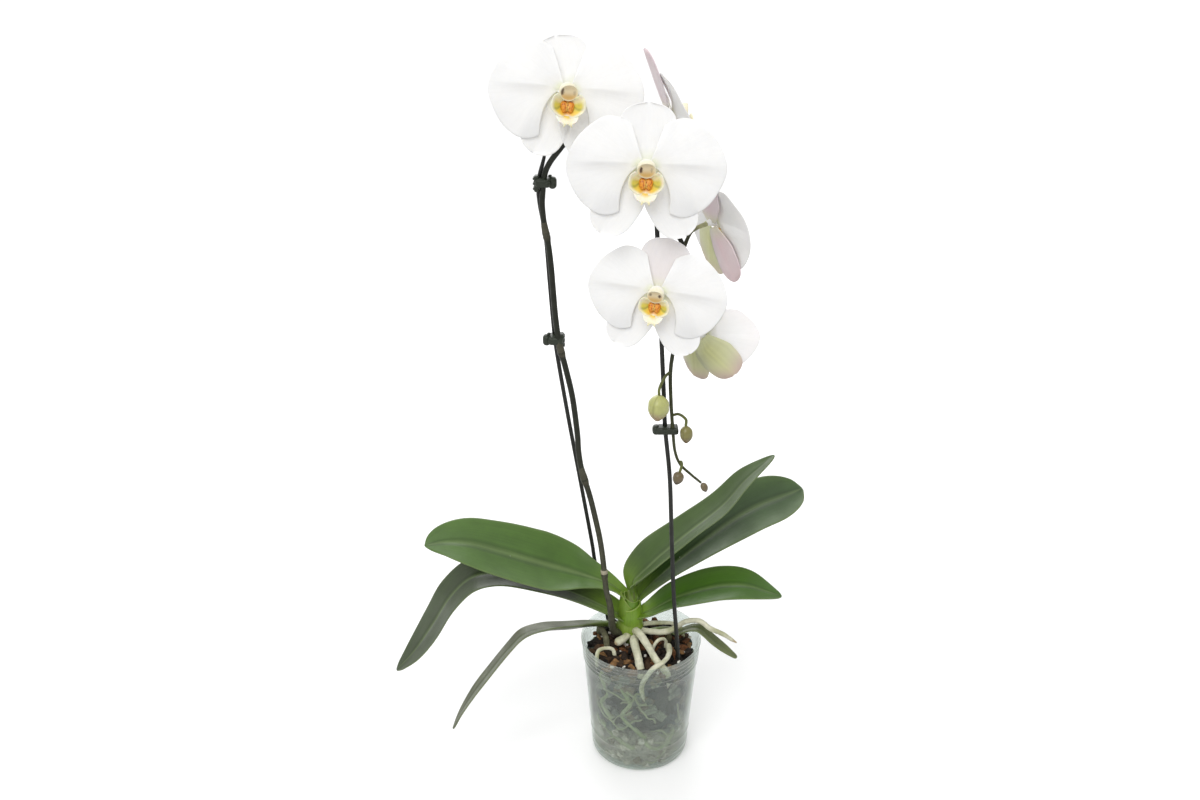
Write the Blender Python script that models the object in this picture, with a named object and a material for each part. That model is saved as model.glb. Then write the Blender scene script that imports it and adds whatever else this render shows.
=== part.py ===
"""White moth orchid in a clear nursery pot, its flower spike held by two stakes and three clips.

Every piece is one closed solid in metres, +Z up. The origin is the centre of the pot's base, and the
front of the plant faces -Y. Points are written in millimetres and scaled by MM.
"""
import math
import random

import bmesh
import bpy
from mathutils import Matrix, Vector, noise

MM = 0.001
TOUCH_GAP = 0.0003
SEED = 11
MERGE_DISTANCE = 0.000002
FLAT_ANGLE = math.radians(0.8)
SHARP_ANGLE = math.radians(50)

# Pot
POT_HEIGHT = 0.130
RIM_RADIUS = 0.060
BASE_RADIUS = 0.0484
WALL = 0.0012
BASE_CORNER = 0.004
LIP_HEIGHT = 0.003
LIP_REACH = 0.0012
LIP_THICKNESS = 0.0022
RING_SPACING = 0.0048
RING_HEIGHTS = tuple(0.1092 + RING_SPACING * step for step in range(4))
RING_REACH = 0.0007
POT_SIDES = 26
DRAIN_RADIUS = 0.0035
DRAIN_CIRCLE = 0.030
DRAIN_COUNT = 6
DRAIN_SIDES = 7

# Potting mix
MIX_TOP = 0.1185
MIX_ROUGHNESS = 0.0022
MIX_RING_SHARES = (0.97, 0.6)
MIX_SIDES = 22
CHIP_COUNT = 13
CHIP_LENGTH = (0.012, 0.021)
CHIP_WIDTH = (0.007, 0.011)
CHIP_THICKNESS = (0.0035, 0.006)
CHIP_LAYER = (0.1190, 0.1215)
CHIP_TILT = 0.35
CHIP_LEAN = 0.22
CHIP_WEAR = 0.0008
WALL_CLEARANCE = 0.0018
HOLE_GAP = 0.00045

# Crown
CROWN_AXIS = ((-9.5, 13.5, 106), (-9.5, 13.5, 122), (-9.5, 14, 140), (-10, 15, 158), (-10, 16.5, 175))
CROWN_RADII = ((0.0, 10.0), (0.25, 12.5), (0.5, 11.0), (0.75, 9.0), (0.9, 8.0), (1.0, 5.0))
SHEATH_RADII = ((0.0, 6.5), (0.6, 6.0), (1.0, 4.6))
SHEATH_LENGTH = 0.016
SHEATH_SINK = 0.004
CROWN_SIDES = 8
CROWN_RINGS = 7
SHEATH_SIDES = 6

# Leaves: the line midway between the two edges from base to tip, half widths along it, how far the
# far edge is turned up towards the front at base and tip, and how far the midrib lies below that
# line at base and tip, as a share of the half width
LEAVES = {
    "leaf_1": dict(
        midline=((-12, 17, 165), (-22, 19, 173.5), (-33, 21, 180.5), (-51, 22, 188.5), (-75, 22, 198),
                 (-110, 17, 211), (-139, 11, 223), (-167, 3, 235), (-190, -5, 240), (-208, -14, 240)),
        widths=((0, 7), (0.06, 8.5), (0.12, 12), (0.21, 20), (0.3, 30), (0.45, 38), (0.65, 37),
                (0.85, 29), (0.95, 16), (1, 4)),
        turn=(26, 14), fold=(0.40, 0.06)),
    "leaf_2": dict(
        midline=((-14, 15, 144), (-29, 17, 153.5), (-61, 18, 170), (-100, 15, 186), (-139, 11, 198),
                 (-168, 6, 196), (-190, 0, 177), (-208, -5, 148), (-227, -11, 119), (-244, -16, 99)),
        widths=((0, 11), (0.06, 14.5), (0.3, 17), (0.55, 22), (0.75, 23), (0.9, 17), (1, 4)),
        turn=(20, 14), fold=(0.40, 0.12)),
    "leaf_3": dict(
        midline=((-13, 18, 129), (-27, 20, 132), (-49, 11, 139), (-71, -2, 145), (-95, -13, 150),
                 (-116, -22, 148), (-132, -29, 134), (-149, -37, 114), (-165, -45, 94),
                 (-177, -50, 75), (-185, -56, 59)),
        widths=((0, 6), (0.12, 8), (0.35, 15), (0.6, 16), (0.8, 13), (0.93, 7), (1, 2)),
        turn=(-20, -20), fold=(0.35, 0.10)),
    "leaf_4": dict(
        midline=((-8, 18, 158), (-12.5, 20, 169), (-13.5, 21, 186), (6.5, 22, 210), (42, 28, 236.5),
                 (76, 34, 261), (100, 38, 287), (129, 42, 309)),
        widths=((0, 7.5), (0.06, 9.5), (0.14, 21), (0.3, 28), (0.6, 26), (0.8, 22), (0.93, 12), (1, 3)),
        turn=(4, -6), fold=(0.5, 0.16)),
    "leaf_5": dict(
        midline=((-7, 25.5, 150), (0, 30.5, 162), (24, 37, 186.5), (60, 47, 213), (96, 59, 234),
                 (125, 67, 246), (165, 75, 256)),
        widths=((0, 6.5), (0.12, 12.5), (0.35, 23), (0.6, 32), (0.8, 35), (0.92, 28), (0.98, 16), (1, 8)),
        turn=(16, 12), fold=(0.45, 0.10)),
    "leaf_6": dict(
        midline=((-6, 13.5, 146), (1, 10.5, 151.5), (8.5, 9, 156.5), (19, 9.5, 163.5), (35, 12, 171),
                 (59, 11, 180), (83, 9, 185.5), (107, 6, 185), (138, 0, 175)),
        widths=((0, 6.5), (0.08, 10), (0.15, 13.5), (0.35, 20.5), (0.6, 25), (0.8, 21), (0.93, 11), (1, 3)),
        turn=(18, 8), fold=(0.42, 0.10)),
    "leaf_7": dict(
        midline=((2, 14, 124), (10, 14.5, 126), (19, 11.5, 129.5), (28, 8, 131.5), (37, 1, 133.5),
                 (43, -3, 139), (51, -8, 145), (59, -11, 145), (71, -16, 136), (83, -20, 127.5),
                 (94, -24, 120)),
        widths=((0, 3.5), (0.3, 5), (0.5, 6.5), (0.85, 6), (1, 2.5)),
        turn=(0, 5), fold=(0.1, 0.2)),
}
LEAF_ROWS = 11
LEAF_COLUMNS = 4
LEAF_MIDRIB_THICKNESS = 0.0032
LEAF_EDGE_THICKNESS = 0.0014
LEAF_TIP_THINNING = 0.35
LEAF_COLUMN_POWER = 0.85
LEAF_FOLD_POWER = 1.6

# Roots over the mix: the path, and the radius at its start and end, in millimetres
ROOTS = {
    "root_long": (((0, 12, 127.5), (8, 4.5, 131.5), (20, -1.5, 134.5), (31, -6, 141), (43, -10, 152.5),
                   (56, -16, 157.5), (66.5, -20, 151.5), (78, -24, 148), (92, -28, 140.5)), (3.1, 2.1)),
    "root_beside": (((-3, 17, 129), (6, 16, 133), (20, 12, 136.5), (31, 10, 137.5), (39, 12, 132),
                     (43, 14, 120), (44, 14, 108)), (2.2, 2.0)),
    "root_thick": (((-7, 12, 122), (-6, 4, 124), (-7, -4, 125.5), (-6, -14, 125.5), (-4, -26, 123.5),
                    (-2.5, -38, 121), (-1.6, -44.5, 116), (-2, -45.5, 107), (-3, -44.5, 96)), (4.2, 3.9)),
    "root_diagonal": (((-8, 12, 128), (-4, 2, 133), (0.5, -7, 133), (6, -18, 130), (12.2, -33, 126.5),
                       (16, -41.5, 125.5), (20.8, -45, 121.5), (24.2, -43.4, 115), (25.5, -41.2, 106),
                       (24.5, -40.5, 96)), (3.8, 3.3)),
    "root_loop": (((27, -12, 113), (26.8, -15, 127), (27.2, -21, 129), (26.2, -32, 130),
                   (22, -43.5, 131), (15.4, -50.4, 130.5), (8.8, -51.8, 125.5), (2.4, -52.6, 115.7),
                   (-0.6, -51.8, 106), (0.9, -50.8, 93.3), (5.8, -49.6, 83)), (2.5, 2.3)),
    "root_curl": (((24.5, -6, 113), (24.5, -6.5, 126.5), (21.5, -8, 131), (16.5, -10, 130.5),
                   (12.5, -12.5, 126), (11, -14, 120), (11, -14.5, 112)), (1.7, 1.7)),
    "root_left": (((-44, -27, 112), (-44, -27, 124), (-41.5, -24, 129), (-34.5, -21.5, 129.5),
                   (-29, -20.5, 127.5), (-27, -21, 122), (-27, -21.5, 112)), (1.9, 1.9)),
    "root_stub": (((-12, 10, 124.5), (-14, 3.5, 126.5), (-17.5, -1.5, 127), (-21.5, -5.5, 126.5),
                   (-25.5, -8.8, 125.5)),
                  (3.5, 4.2)),
}
ROOT_SHARES = ((0, 1.0), (0.2, 1.06), (0.45, 0.95), (0.7, 1.04), (0.93, 0.85), (1, 0.4))
ROOT_SIDES = 6
ROOT_RINGS_A_POINT = 1.2
OLD_STEM = ((-42, 23, 112), (-41, 20, 126), (-38, 10, 128), (-35, 0, 126), (-34, -4, 112))
OLD_STEM_RADIUS = 0.0030
CUT_SPIKE = ((28, 7, 108), (28, 6.5, 118), (28, 6, 127.5))
CUT_SPIKE_RADIUS = 0.0034
CUT_SPIKE_SIDES = 9

# Roots against the inside of the wall: angle from the front towards +X in degrees, and height in mm
WALL_ROOTS = (
    ((-50, 106), (-40, 90), (-52, 72), (-38, 60)),
    ((-22, 100), (-13, 84), (-23, 67), (-9, 53), (4, 42)),
    ((76, 106), (68, 92), (75, 77), (66, 62)),
    ((-62, 52), (-46, 42), (-29, 34), (-10, 27)),
    ((6, 33), (20, 24), (34, 29), (42, 42)),
)
WALL_ROOT_RADIUS = 0.0021
WALL_ROOT_DIVE = 0.009

# Flower spike
SPIKE = ((-17, 11, 125), (-24, 5, 130), (-28.5, 0, 139), (-31, -4, 167), (-35, -4, 186),
         (-38, -4, 218), (-41, -3, 241), (-46, -1, 266), (-51, 0, 288), (-58, 1, 313),
         (-61, 1, 333), (-62, 0, 352), (-66, -3, 389), (-72, -6, 420), (-77, -8, 442),
         (-80, -9, 467), (-81.5, -11, 490), (-83, -13, 515), (-85, -14, 535), (-88, -15, 552),
         (-89.5, -17, 569), (-89, -18, 580), (-87, -20, 596), (-83, -22, 606), (-76, -25, 616),
         (-67, -25, 626), (-52, -22, 635), (-32, -21, 638), (-12, -24, 628), (4, -33, 600),
         (11, -40, 572), (17, -46, 556), (25, -46, 549), (28.5, -46, 535), (28, -46, 510),
         (26, -46, 485), (22, -44, 452), (20, -43, 430), (21, -43, 404), (23.5, -42, 374),
         (26, -40, 353), (31, -40, 340), (40, -41, 331), (50, -42, 322.5))
SPIKE_RADII = ((0, 3.9), (0.04, 3.4), (0.09, 2.7), (0.3, 2.7), (0.5, 2.5), (0.62, 2.3), (0.8, 1.9),
               (0.93, 1.5), (1, 1.1))
SPIKE_STEPS = 600
SPIKE_RINGS = 34
SPIKE_SIDES = 6
NODE_PLACES = (0.095, 0.207, 0.353, 0.472, 0.585, 0.665, 0.81, 0.93)
NODE_STEPS = 2
NODE_SWELL = 1.35
STALK_RADII = ((0, 2.0), (0.3, 1.6), (1, 1.9))
STALK_SIDES = 5

# Blooms: the point where the tepals meet, where the stalk leaves the spike, the turn to the right,
# the tilt up, the lean of the top to the left and the size, then what differs from a bloom as usual
BLOOM_AS_USUAL = dict(size=1.0, nod=0, dorsal=1.0, hang=0, lateral=1.0, lateral_width=1.0, close=0, fan=1.0)
BLOOMS = {
    "bloom_1": dict(centre=(-67, -40, 669), node=(-67, -25, 626), yaw=12, pitch=10, lean=-6,
                    nod=15, dorsal=0.88, hang=8, lateral=0.86),
    "bloom_2": dict(centre=(-5, -78, 617), node=(-12, -24, 628), yaw=0, pitch=6, lean=-2),
    "bloom_3": dict(centre=(6, -68, 512), node=(28, -46, 510), yaw=-12, pitch=4, lean=-5, size=0.93,
                    nod=-7),
    "bloom_4": dict(centre=(18.5, 2, 643.5), node=(-12, -24, 628), yaw=97, pitch=22, lean=0, size=1.1,
                    dorsal=1.1, lateral=0.82, close=3),
    "bloom_5": dict(centre=(55, -14, 556), node=(27.5, -46, 541), yaw=113, pitch=15, lean=0, size=0.9,
                    hang=10, lateral=0.93, lateral_width=1.3, close=3),
    "bloom_6": dict(centre=(47, -26, 458), node=(26, -46, 485), yaw=138, pitch=-20, lean=-15, size=0.86,
                    lateral=0.9, lateral_width=1.3, close=46, fan=0.9),
}
BLOOMS = {name: {**BLOOM_AS_USUAL, **bloom} for name, bloom in BLOOMS.items()}
STALK_BACK = 0.0073
STALK_RUN = 0.010
STALK_ARCH = 0.004
STALK_SEAT = 0.003
STALK_RINGS = 6

# Tepals of a bloom of size 1, in millimetres: it is about 124 mm wide across the petals. The outline
# of a petal is the angle and the reach of each point from the foot. Its lower part bends down from
# the foot, and it steps back below its crease, bends back at its top and bottom and waves at its rim
PETAL_OUTLINE = ((-65, 41), (-54, 50), (-38, 55.5), (-20, 58.5), (-3, 60.7), (14, 57.5), (33, 52),
                 (52, 46), (71, 32))
PETAL_RINGS = (0.06, 0.38, 0.72, 1.0)
PETAL_BEND = 0.55
PETAL_BEND_ANGLE = 40
PETAL_THICKNESS = 0.0009
PETAL_FOOT = 2.0
PETAL_FRONT = 1.0
CREASE_RISE = 2.2
CREASE_FALL = 3.0
CREASE_RETURN = 1.3
CREASE_HEIGHT = 1.5
CREASE_STEP = 7.5
CREASE_ABOVE = 20
CREASE_BELOW = 30
CREASE_ENDS = ((0.05, 0.0), (0.35, 1.0), (0.55, 1.0), (1.02, 0.0))
PETAL_REFLEX = 2.6
PETAL_WAVE = 0.9
PETAL_WAVES = 3.2
OPEN_HEART = 18
SEPAL_THICKNESS = 0.0009
SEPAL_PLACES = (0.0, 0.4, 0.75, 0.93, 1.0)
SEPAL_COLUMNS = 3
SEPAL_CUP = 1.8
SEPAL_REFLEX = 2.0
SEPAL_WIDTHS = ((0, 0.35), (0.2, 0.72), (0.45, 1.0), (0.7, 0.99), (0.85, 0.85), (0.94, 0.6), (1, 0.16))
DORSAL = dict(angle=90, foot=(0, 0), length=47, half_width=22.5)
LATERAL = dict(angle=-58, foot=(3, -4), length=60, half_width=18)
SEPAL_DEPTH = -2.6
LATERAL_STAGGER = 0.55
COLUMN = ((0, 0, -7), (0, 0, -3), (0, -1, 3), (0, -2.4, 7), (0, -3.6, 10.5))
COLUMN_SIDES = 8
COLUMN_RADII = (2.0, 3.4, 5.6, 6.6, 6.4)

# Lip, in a bloom's own millimetres: a bowl whose side lobes reach up round the column by LIP_TURN
# degrees from its middle, the middle lobe's half widths, its two tails, the claw that holds it and
# the two pads in its throat
LIP_TURN = 135
LIP_COLUMNS = 8
LIP_PLACES = (0.0, 0.5, 1.0)
LIP_CENTRE = -12.5
LIP_HEART = 1.0
LIP_RADIUS = 9.2
LIP_FLARE = 4.0
LIP_NOTCH = 0.14
LIP_BACK = 3.0
LIP_DEPTH = 4.6
SIDE_LOBE_REACH = 5.6
LIP_THICKNESS_CUP = 0.0011
MIDDLE_LOBE_THICKNESS = 0.0014
MIDDLE_LOBE_WIDTHS = ((0, 9.8), (0.4, 9.2), (0.75, 7.4), (0.92, 6.0), (1, 5.0))
MIDDLE_LOBE_COLUMNS = 3
MIDDLE_LOBE_FOOT = (-21.3, 6.6)
MIDDLE_LOBE_FALL = 7.3
MIDDLE_LOBE_REACH = 6.4
MIDDLE_LOBE_CUP = (3.6, 0.8)
TAIL = ((2.4, -27.4, 12.4), (2.8, -28.6, 13.6), (3.2, -29.4, 13.0))
TAIL_RADII = ((0, 1.0), (1, 0.4))
TAIL_SIDES = 3
CLAW = ((-3.5, 3.5), (-9, 4.0), (-14, 4.0), (-17, 4.6))
CLAW_RADIUS = 2.4
CLAW_SIDES = 5
PAD_MIDDLE = (2.6, -14.0, 6.2)
PAD_SIZE = (2.9, 4.6, 2.3)
PAD_SIDES = 5
PAD_RINGS = 3

# Buds: where the middle is, where the stalk leaves the spike, the way its tip points, length, width
BUDS = {
    "bud_1": dict(centre=(9.4, -52, 400), node=(20, -43, 430), tip=(-0.05, 0, -1), size=(25, 19)),
    "bud_2": dict(centre=(35, -46, 372), node=(22.3, -42.5, 388), tip=(0.05, 0, -1), size=(17, 11.5)),
    "bud_3": dict(centre=(29, -44, 328), node=(31, -40, 340), tip=(-0.25, 0, -1), size=(13.5, 10)),
    "bud_4": dict(centre=(53.2, -42, 317.6), node=None, tip=(0.45, 0, -1), size=(10, 6.5)),
}
BUD_STALK_RADIUS = 0.0013
BUD_STALK_RUN = 0.006
BUD_STALK_ARCH = 0.003
BUD_STALK_SEAT = 0.0015
BUD_STALK_RINGS = 5
BUD_SIDES = 9
BUD_PROFILE = ((0.0, 0.16), (0.12, 0.62), (0.35, 0.97), (0.6, 0.95), (0.82, 0.62), (1.0, 0.12))
BUD_RIBS = 3
BUD_RIB_HEIGHT = 0.05

# Stakes
STAKE_RADIUS = 0.0020
STAKE_SIDES = 6
STAKE_RINGS = 17
STAKES = {
    "stake_left": ((-22, 34, 12), (-27, 38.5, 75), (-32.5, 41.5, 118), (-35, 43, 134), (-45.5, 48.5, 182),
                   (-49.4, 48.5, 209.6), (-59, 38, 276), (-70, 21, 354), (-79, 10, 420), (-82, 2, 452),
                   (-85, -3, 500), (-87.5, -6, 540), (-92, -10.5, 572), (-92, -13, 590),
                   (-87, -14.5, 611)),
    "stake_right": ((38, -22, 12), (37.5, -24.5, 70), (35.7, -26, 122), (30, -27.5, 188),
                    (26, -30, 256), (22.5, -33, 322), (17, -37, 373), (15, -39, 406),
                    (13.5, -40, 430), (12, -41, 454), (6, -43, 555), (2, -44, 596)),
}

# Clips: the middle, the side that the thumb lobe is on, and the form. Each block of a form is its
# size, its middle from the clip's towards the lobe, and its corner radius, in millimetres
CLIPS = {
    "clip_1": dict(centre=(-88.5, -16, 590), lobe=1, form="upright"),
    "clip_2": dict(centre=(-80.5, -2.5, 446), lobe=-1, form="upright"),
    "clip_3": dict(centre=(18, -39.5, 374), lobe=-1, form="level"),
}
CLIP_FORMS = {
    "upright": (((13, 17, 7.5), (0, 0, 0), 2.6), ((4.4, 9, 13.5), (-5.2, -1, -1), 1.4),
                ((7, 9, 10), (8, -1, -0.5), 3.0), ((3, 3, 2.4), (6, -1, 5), 0),
                ((3, 8, 1.7), (-6.9, -1, 3.3), 0), ((3, 8, 1.7), (-6.9, -1, -0.9), 0),
                ((3, 8, 1.7), (-6.9, -1, -5.1), 0)),
    "level": (((20, 12, 6.5), (-0.4, 0, 0), 2.2), ((7, 9.5, 8.7), (9.2, 0, 0), 3.0),
              ((17, 13, 1.3), (-1.5, 0, 2.0), 0), ((17, 13, 1.3), (-1.5, 0, -1.4), 0)),
}

# Finishes: colour, roughness and how much of it is opaque
FINISHES = {
    "clear_plastic": ((0.80, 0.84, 0.86), 0.25, 0.4),
    "bark_mix": ((0.09, 0.055, 0.035), 0.95, 1),
    "crown_green": ((0.36, 0.46, 0.10), 0.45, 1),
    "leaf_green": ((0.10, 0.22, 0.05), 0.4, 1),
    "old_leaf_green": ((0.17, 0.22, 0.07), 0.5, 1),
    "root_silver": ((0.68, 0.69, 0.60), 0.7, 1),
    "root_green": ((0.36, 0.42, 0.26), 0.6, 1),
    "dry_stem": ((0.13, 0.11, 0.05), 0.8, 1),
    "spike_olive": ((0.07, 0.09, 0.035), 0.5, 1),
    "petal_white": ((0.93, 0.92, 0.90), 0.5, 1),
    "lip_yellow": ((0.90, 0.62, 0.14), 0.5, 1),
    "bud_green": ((0.55, 0.56, 0.24), 0.5, 1),
    "stake_black": ((0.015, 0.017, 0.015), 0.45, 1),
    "clip_green": ((0.03, 0.06, 0.035), 0.4, 1),
}
OLD_LEAVES = ("leaf_3", "leaf_7")


def mm(point):
    """The vector, in metres, of a point given in millimetres."""
    return Vector(point) * MM


def clear_scene():
    """Empty the scene that the script starts in."""
    for item in list(bpy.data.objects):
        bpy.data.objects.remove(item, do_unlink=True)


def finish(name, colour, roughness, alpha):
    """A plain material of one colour."""
    material = bpy.data.materials.new(name)
    material.use_nodes = True
    shader = material.node_tree.nodes["Principled BSDF"]
    shader.inputs["Base Color"].default_value = (*colour, 1.0)
    shader.inputs["Roughness"].default_value = roughness
    shader.inputs["Metallic"].default_value = 0.0
    shader.inputs["Alpha"].default_value = alpha
    return material


def eased(pairs, place):
    """The value at a place along (place, value) pairs, on a smooth curve with no overshoot."""
    if place <= pairs[0][0]:
        return pairs[0][1]
    slopes = [(b[1] - a[1]) / (b[0] - a[0]) for a, b in zip(pairs, pairs[1:])]
    for index, (low, high) in enumerate(zip(pairs, pairs[1:])):
        if place <= high[0]:
            before = slopes[max(index - 1, 0)]
            after = slopes[min(index + 1, len(slopes) - 1)]
            here = slopes[index]
            start = (before + here) / 2 if before * here > 0 else 0.0
            end = (after + here) / 2 if after * here > 0 else 0.0
            step = high[0] - low[0]
            u = (place - low[0]) / step
            return ((2 * u**3 - 3 * u**2 + 1) * low[1] + (u**3 - 2 * u**2 + u) * step * start
                    + (3 * u**2 - 2 * u**3) * high[1] + (u**3 - u**2) * step * end)
    return pairs[-1][1]


def spread(pairs, count):
    """Values for evenly spaced places along (place, value) pairs."""
    return [eased(pairs, index / (count - 1)) for index in range(count)]


def smooth_path(points, count):
    """Evenly spaced points, in metres, on a smooth curve through points given in millimetres."""
    knots = [mm(point) for point in points]
    knots = [2 * knots[0] - knots[1]] + knots + [2 * knots[-1] - knots[-2]]
    steps = 16
    dense = []
    for index in range(len(knots) - 3):
        p0, p1, p2, p3 = knots[index:index + 4]
        for step in range(steps):
            u = step / steps
            dense.append(0.5 * (2 * p1 + (p2 - p0) * u + (2 * p0 - 5 * p1 + 4 * p2 - p3) * u**2
                                + (3 * p1 - p0 - 3 * p2 + p3) * u**3))
    dense.append(knots[-2])
    lengths = [0.0]
    for a, b in zip(dense, dense[1:]):
        lengths.append(lengths[-1] + (b - a).length)
    path = []
    index = 0
    for step in range(count):
        wanted = lengths[-1] * step / (count - 1)
        while index < len(lengths) - 2 and lengths[index + 1] < wanted:
            index += 1
        share = (wanted - lengths[index]) / (lengths[index + 1] - lengths[index])
        path.append(dense[index].lerp(dense[index + 1], min(share, 1.0)))
    return path


def tangents(path):
    """The direction of a path at each of its points."""
    ahead = path[1:] + [2 * path[-1] - path[-2]]
    behind = [2 * path[0] - path[1]] + path[:-1]
    return [(a - b).normalized() for a, b in zip(ahead, behind)]


def new_piece(name, bm, material, smooth=True):
    """An object holding the finished mesh, with its faces turned out."""
    bmesh.ops.recalc_face_normals(bm, faces=bm.faces)
    mesh = bpy.data.meshes.new(name)
    bm.to_mesh(mesh)
    bm.free()
    piece = bpy.data.objects.new(name, mesh)
    bpy.context.scene.collection.objects.link(piece)
    if material:
        mesh.materials.append(material)
    if smooth:
        mesh.shade_smooth()
        mesh.set_sharp_from_angle(angle=SHARP_ANGLE)
    return piece


def tube(name, path, radii, sides, material=None, grow=0.0):
    """A closed tube along a path, with a radius in millimetres for each of its points."""
    bm = bmesh.new()
    ways = tangents(path)
    side = ways[0].orthogonal().normalized()
    rings = []
    if grow:
        path = [path[0] - ways[0] * grow] + path[1:-1] + [path[-1] + ways[-1] * grow]
    for index, (point, way) in enumerate(zip(path, ways)):
        side = (side - way * side.dot(way)).normalized()
        other = way.cross(side)
        radius = radii[index] * MM + grow
        ring = []
        for step in range(sides):
            angle = math.tau * step / sides
            ring.append(bm.verts.new(point + radius * (math.cos(angle) * side + math.sin(angle) * other)))
        rings.append(ring)
    for ring, following in zip(rings, rings[1:]):
        for step in range(sides):
            ahead = (step + 1) % sides
            bm.faces.new((ring[step], ring[ahead], following[ahead], following[step]))
    bm.faces.new(reversed(rings[0]))
    bm.faces.new(rings[-1])
    return new_piece(name, bm, material)


def thick_sheet(name, rows, thickness, material=None):
    """A closed sheet about a grid of middle points, each cell split alike on both of its faces."""
    bm = bmesh.new()
    high, wide = len(rows), len(rows[0])
    front, back = [], []
    for i in range(high):
        upper, lower = [], []
        for j in range(wide):
            along = rows[min(i + 1, high - 1)][j] - rows[max(i - 1, 0)][j]
            across = rows[i][min(j + 1, wide - 1)] - rows[i][max(j - 1, 0)]
            lift = along.cross(across).normalized() * thickness(i, j) / 2
            upper.append(bm.verts.new(rows[i][j] + lift))
            lower.append(bm.verts.new(rows[i][j] - lift))
        front.append(upper)
        back.append(lower)
    for i in range(high - 1):
        for j in range(wide - 1):
            for grid in (front, back):
                a, b = grid[i][j], grid[i + 1][j]
                c, d = grid[i + 1][j + 1], grid[i][j + 1]
                bm.faces.new((a, b, c))
                bm.faces.new((a, c, d))
    border = [(0, j) for j in range(wide)] + [(i, wide - 1) for i in range(1, high)]
    border += [(high - 1, j) for j in range(wide - 2, -1, -1)] + [(i, 0) for i in range(high - 2, 0, -1)]
    for (i, j), (k, m) in zip(border, border[1:] + border[:1]):
        bm.faces.new((front[i][j], front[k][m], back[k][m]))
        bm.faces.new((front[i][j], back[k][m], back[i][j]))
    return new_piece(name, bm, material)


def tidied(mesh, flat_angle=0.0):
    """Keep a mesh's largest body, merge its nearly flat faces, and say whether it is closed."""
    bm = bmesh.new()
    bm.from_mesh(mesh)
    bmesh.ops.remove_doubles(bm, verts=bm.verts, dist=MERGE_DISTANCE)
    bmesh.ops.dissolve_degenerate(bm, edges=bm.edges, dist=MERGE_DISTANCE)
    left = set(bm.faces)
    bodies = []
    while left:
        body, waiting = set(), [left.pop()]
        while waiting:
            face = waiting.pop()
            body.add(face)
            for other in {other for edge in face.edges for other in edge.link_faces} & left:
                left.remove(other)
                waiting.append(other)
        bodies.append(body)
    largest = max(bodies, key=lambda faces: sum(face.calc_area() for face in faces), default=set())
    scrap = [face for body in bodies if body is not largest for face in body]
    bmesh.ops.delete(bm, geom=scrap, context="FACES")
    bmesh.ops.delete(bm, geom=[vert for vert in bm.verts if not vert.link_faces], context="VERTS")
    closed = bool(largest) and all(edge.is_manifold for edge in bm.edges)
    if closed and flat_angle:
        thinner = bm.copy()
        bmesh.ops.dissolve_limit(thinner, angle_limit=flat_angle, verts=thinner.verts, edges=thinner.edges)
        bmesh.ops.triangulate(thinner, faces=thinner.faces)
        if all(edge.is_manifold for edge in thinner.edges):
            bm, thinner = thinner, bm
        thinner.free()
    bm.to_mesh(mesh)
    bm.free()
    return closed


def combine(base, others, operation, flat_angle=0.0):
    """Join others to base, or cut them out of it, and remove them."""
    group = bpy.data.collections.new(base.name + "_pieces")
    bpy.context.scene.collection.children.link(group)
    for other in others:
        group.objects.link(other)
    change = base.modifiers.new("combine", "BOOLEAN")
    change.operation = operation
    change.operand_type = "COLLECTION"
    change.collection = group
    for solver in ("EXACT", "MANIFOLD"):
        change.solver = solver
        graph = bpy.context.evaluated_depsgraph_get()
        mesh = bpy.data.meshes.new_from_object(base.evaluated_get(graph))
        if tidied(mesh, flat_angle):
            break
    base.modifiers.clear()
    old = base.data
    base.data = mesh
    bpy.data.meshes.remove(old)
    mesh.name = base.name
    for other in others:
        bpy.data.objects.remove(other, do_unlink=True)
    bpy.data.collections.remove(group)
    mesh.shade_smooth()
    mesh.set_sharp_from_angle(angle=SHARP_ANGLE)
    return base


def pot_outer_radius(height):
    """The outside radius of the pot's tapered wall at a height."""
    share = (height - BASE_CORNER) / (POT_HEIGHT - BASE_CORNER)
    return BASE_RADIUS + (RIM_RADIUS - LIP_REACH - BASE_RADIUS) * share


def pot_inner_radius(height):
    """The inside radius of the pot's tapered wall at a height."""
    return pot_outer_radius(height) - WALL


def revolved(name, profile, sides, material):
    """A closed solid turned about Z from (radius, height) pairs that start and end on the axis."""
    bm = bmesh.new()
    bottom = bm.verts.new((0, 0, profile[0][1]))
    top = bm.verts.new((0, 0, profile[-1][1]))
    rings = []
    for radius, height in profile[1:-1]:
        ring = []
        for step in range(sides):
            angle = math.tau * step / sides
            ring.append(bm.verts.new((radius * math.cos(angle), radius * math.sin(angle), height)))
        rings.append(ring)
    for step in range(sides):
        ahead = (step + 1) % sides
        bm.faces.new((bottom, rings[0][ahead], rings[0][step]))
        bm.faces.new((top, rings[-1][step], rings[-1][ahead]))
        for ring, following in zip(rings, rings[1:]):
            bm.faces.new((ring[step], ring[ahead], following[ahead], following[step]))
    return new_piece(name, bm, material)


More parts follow.
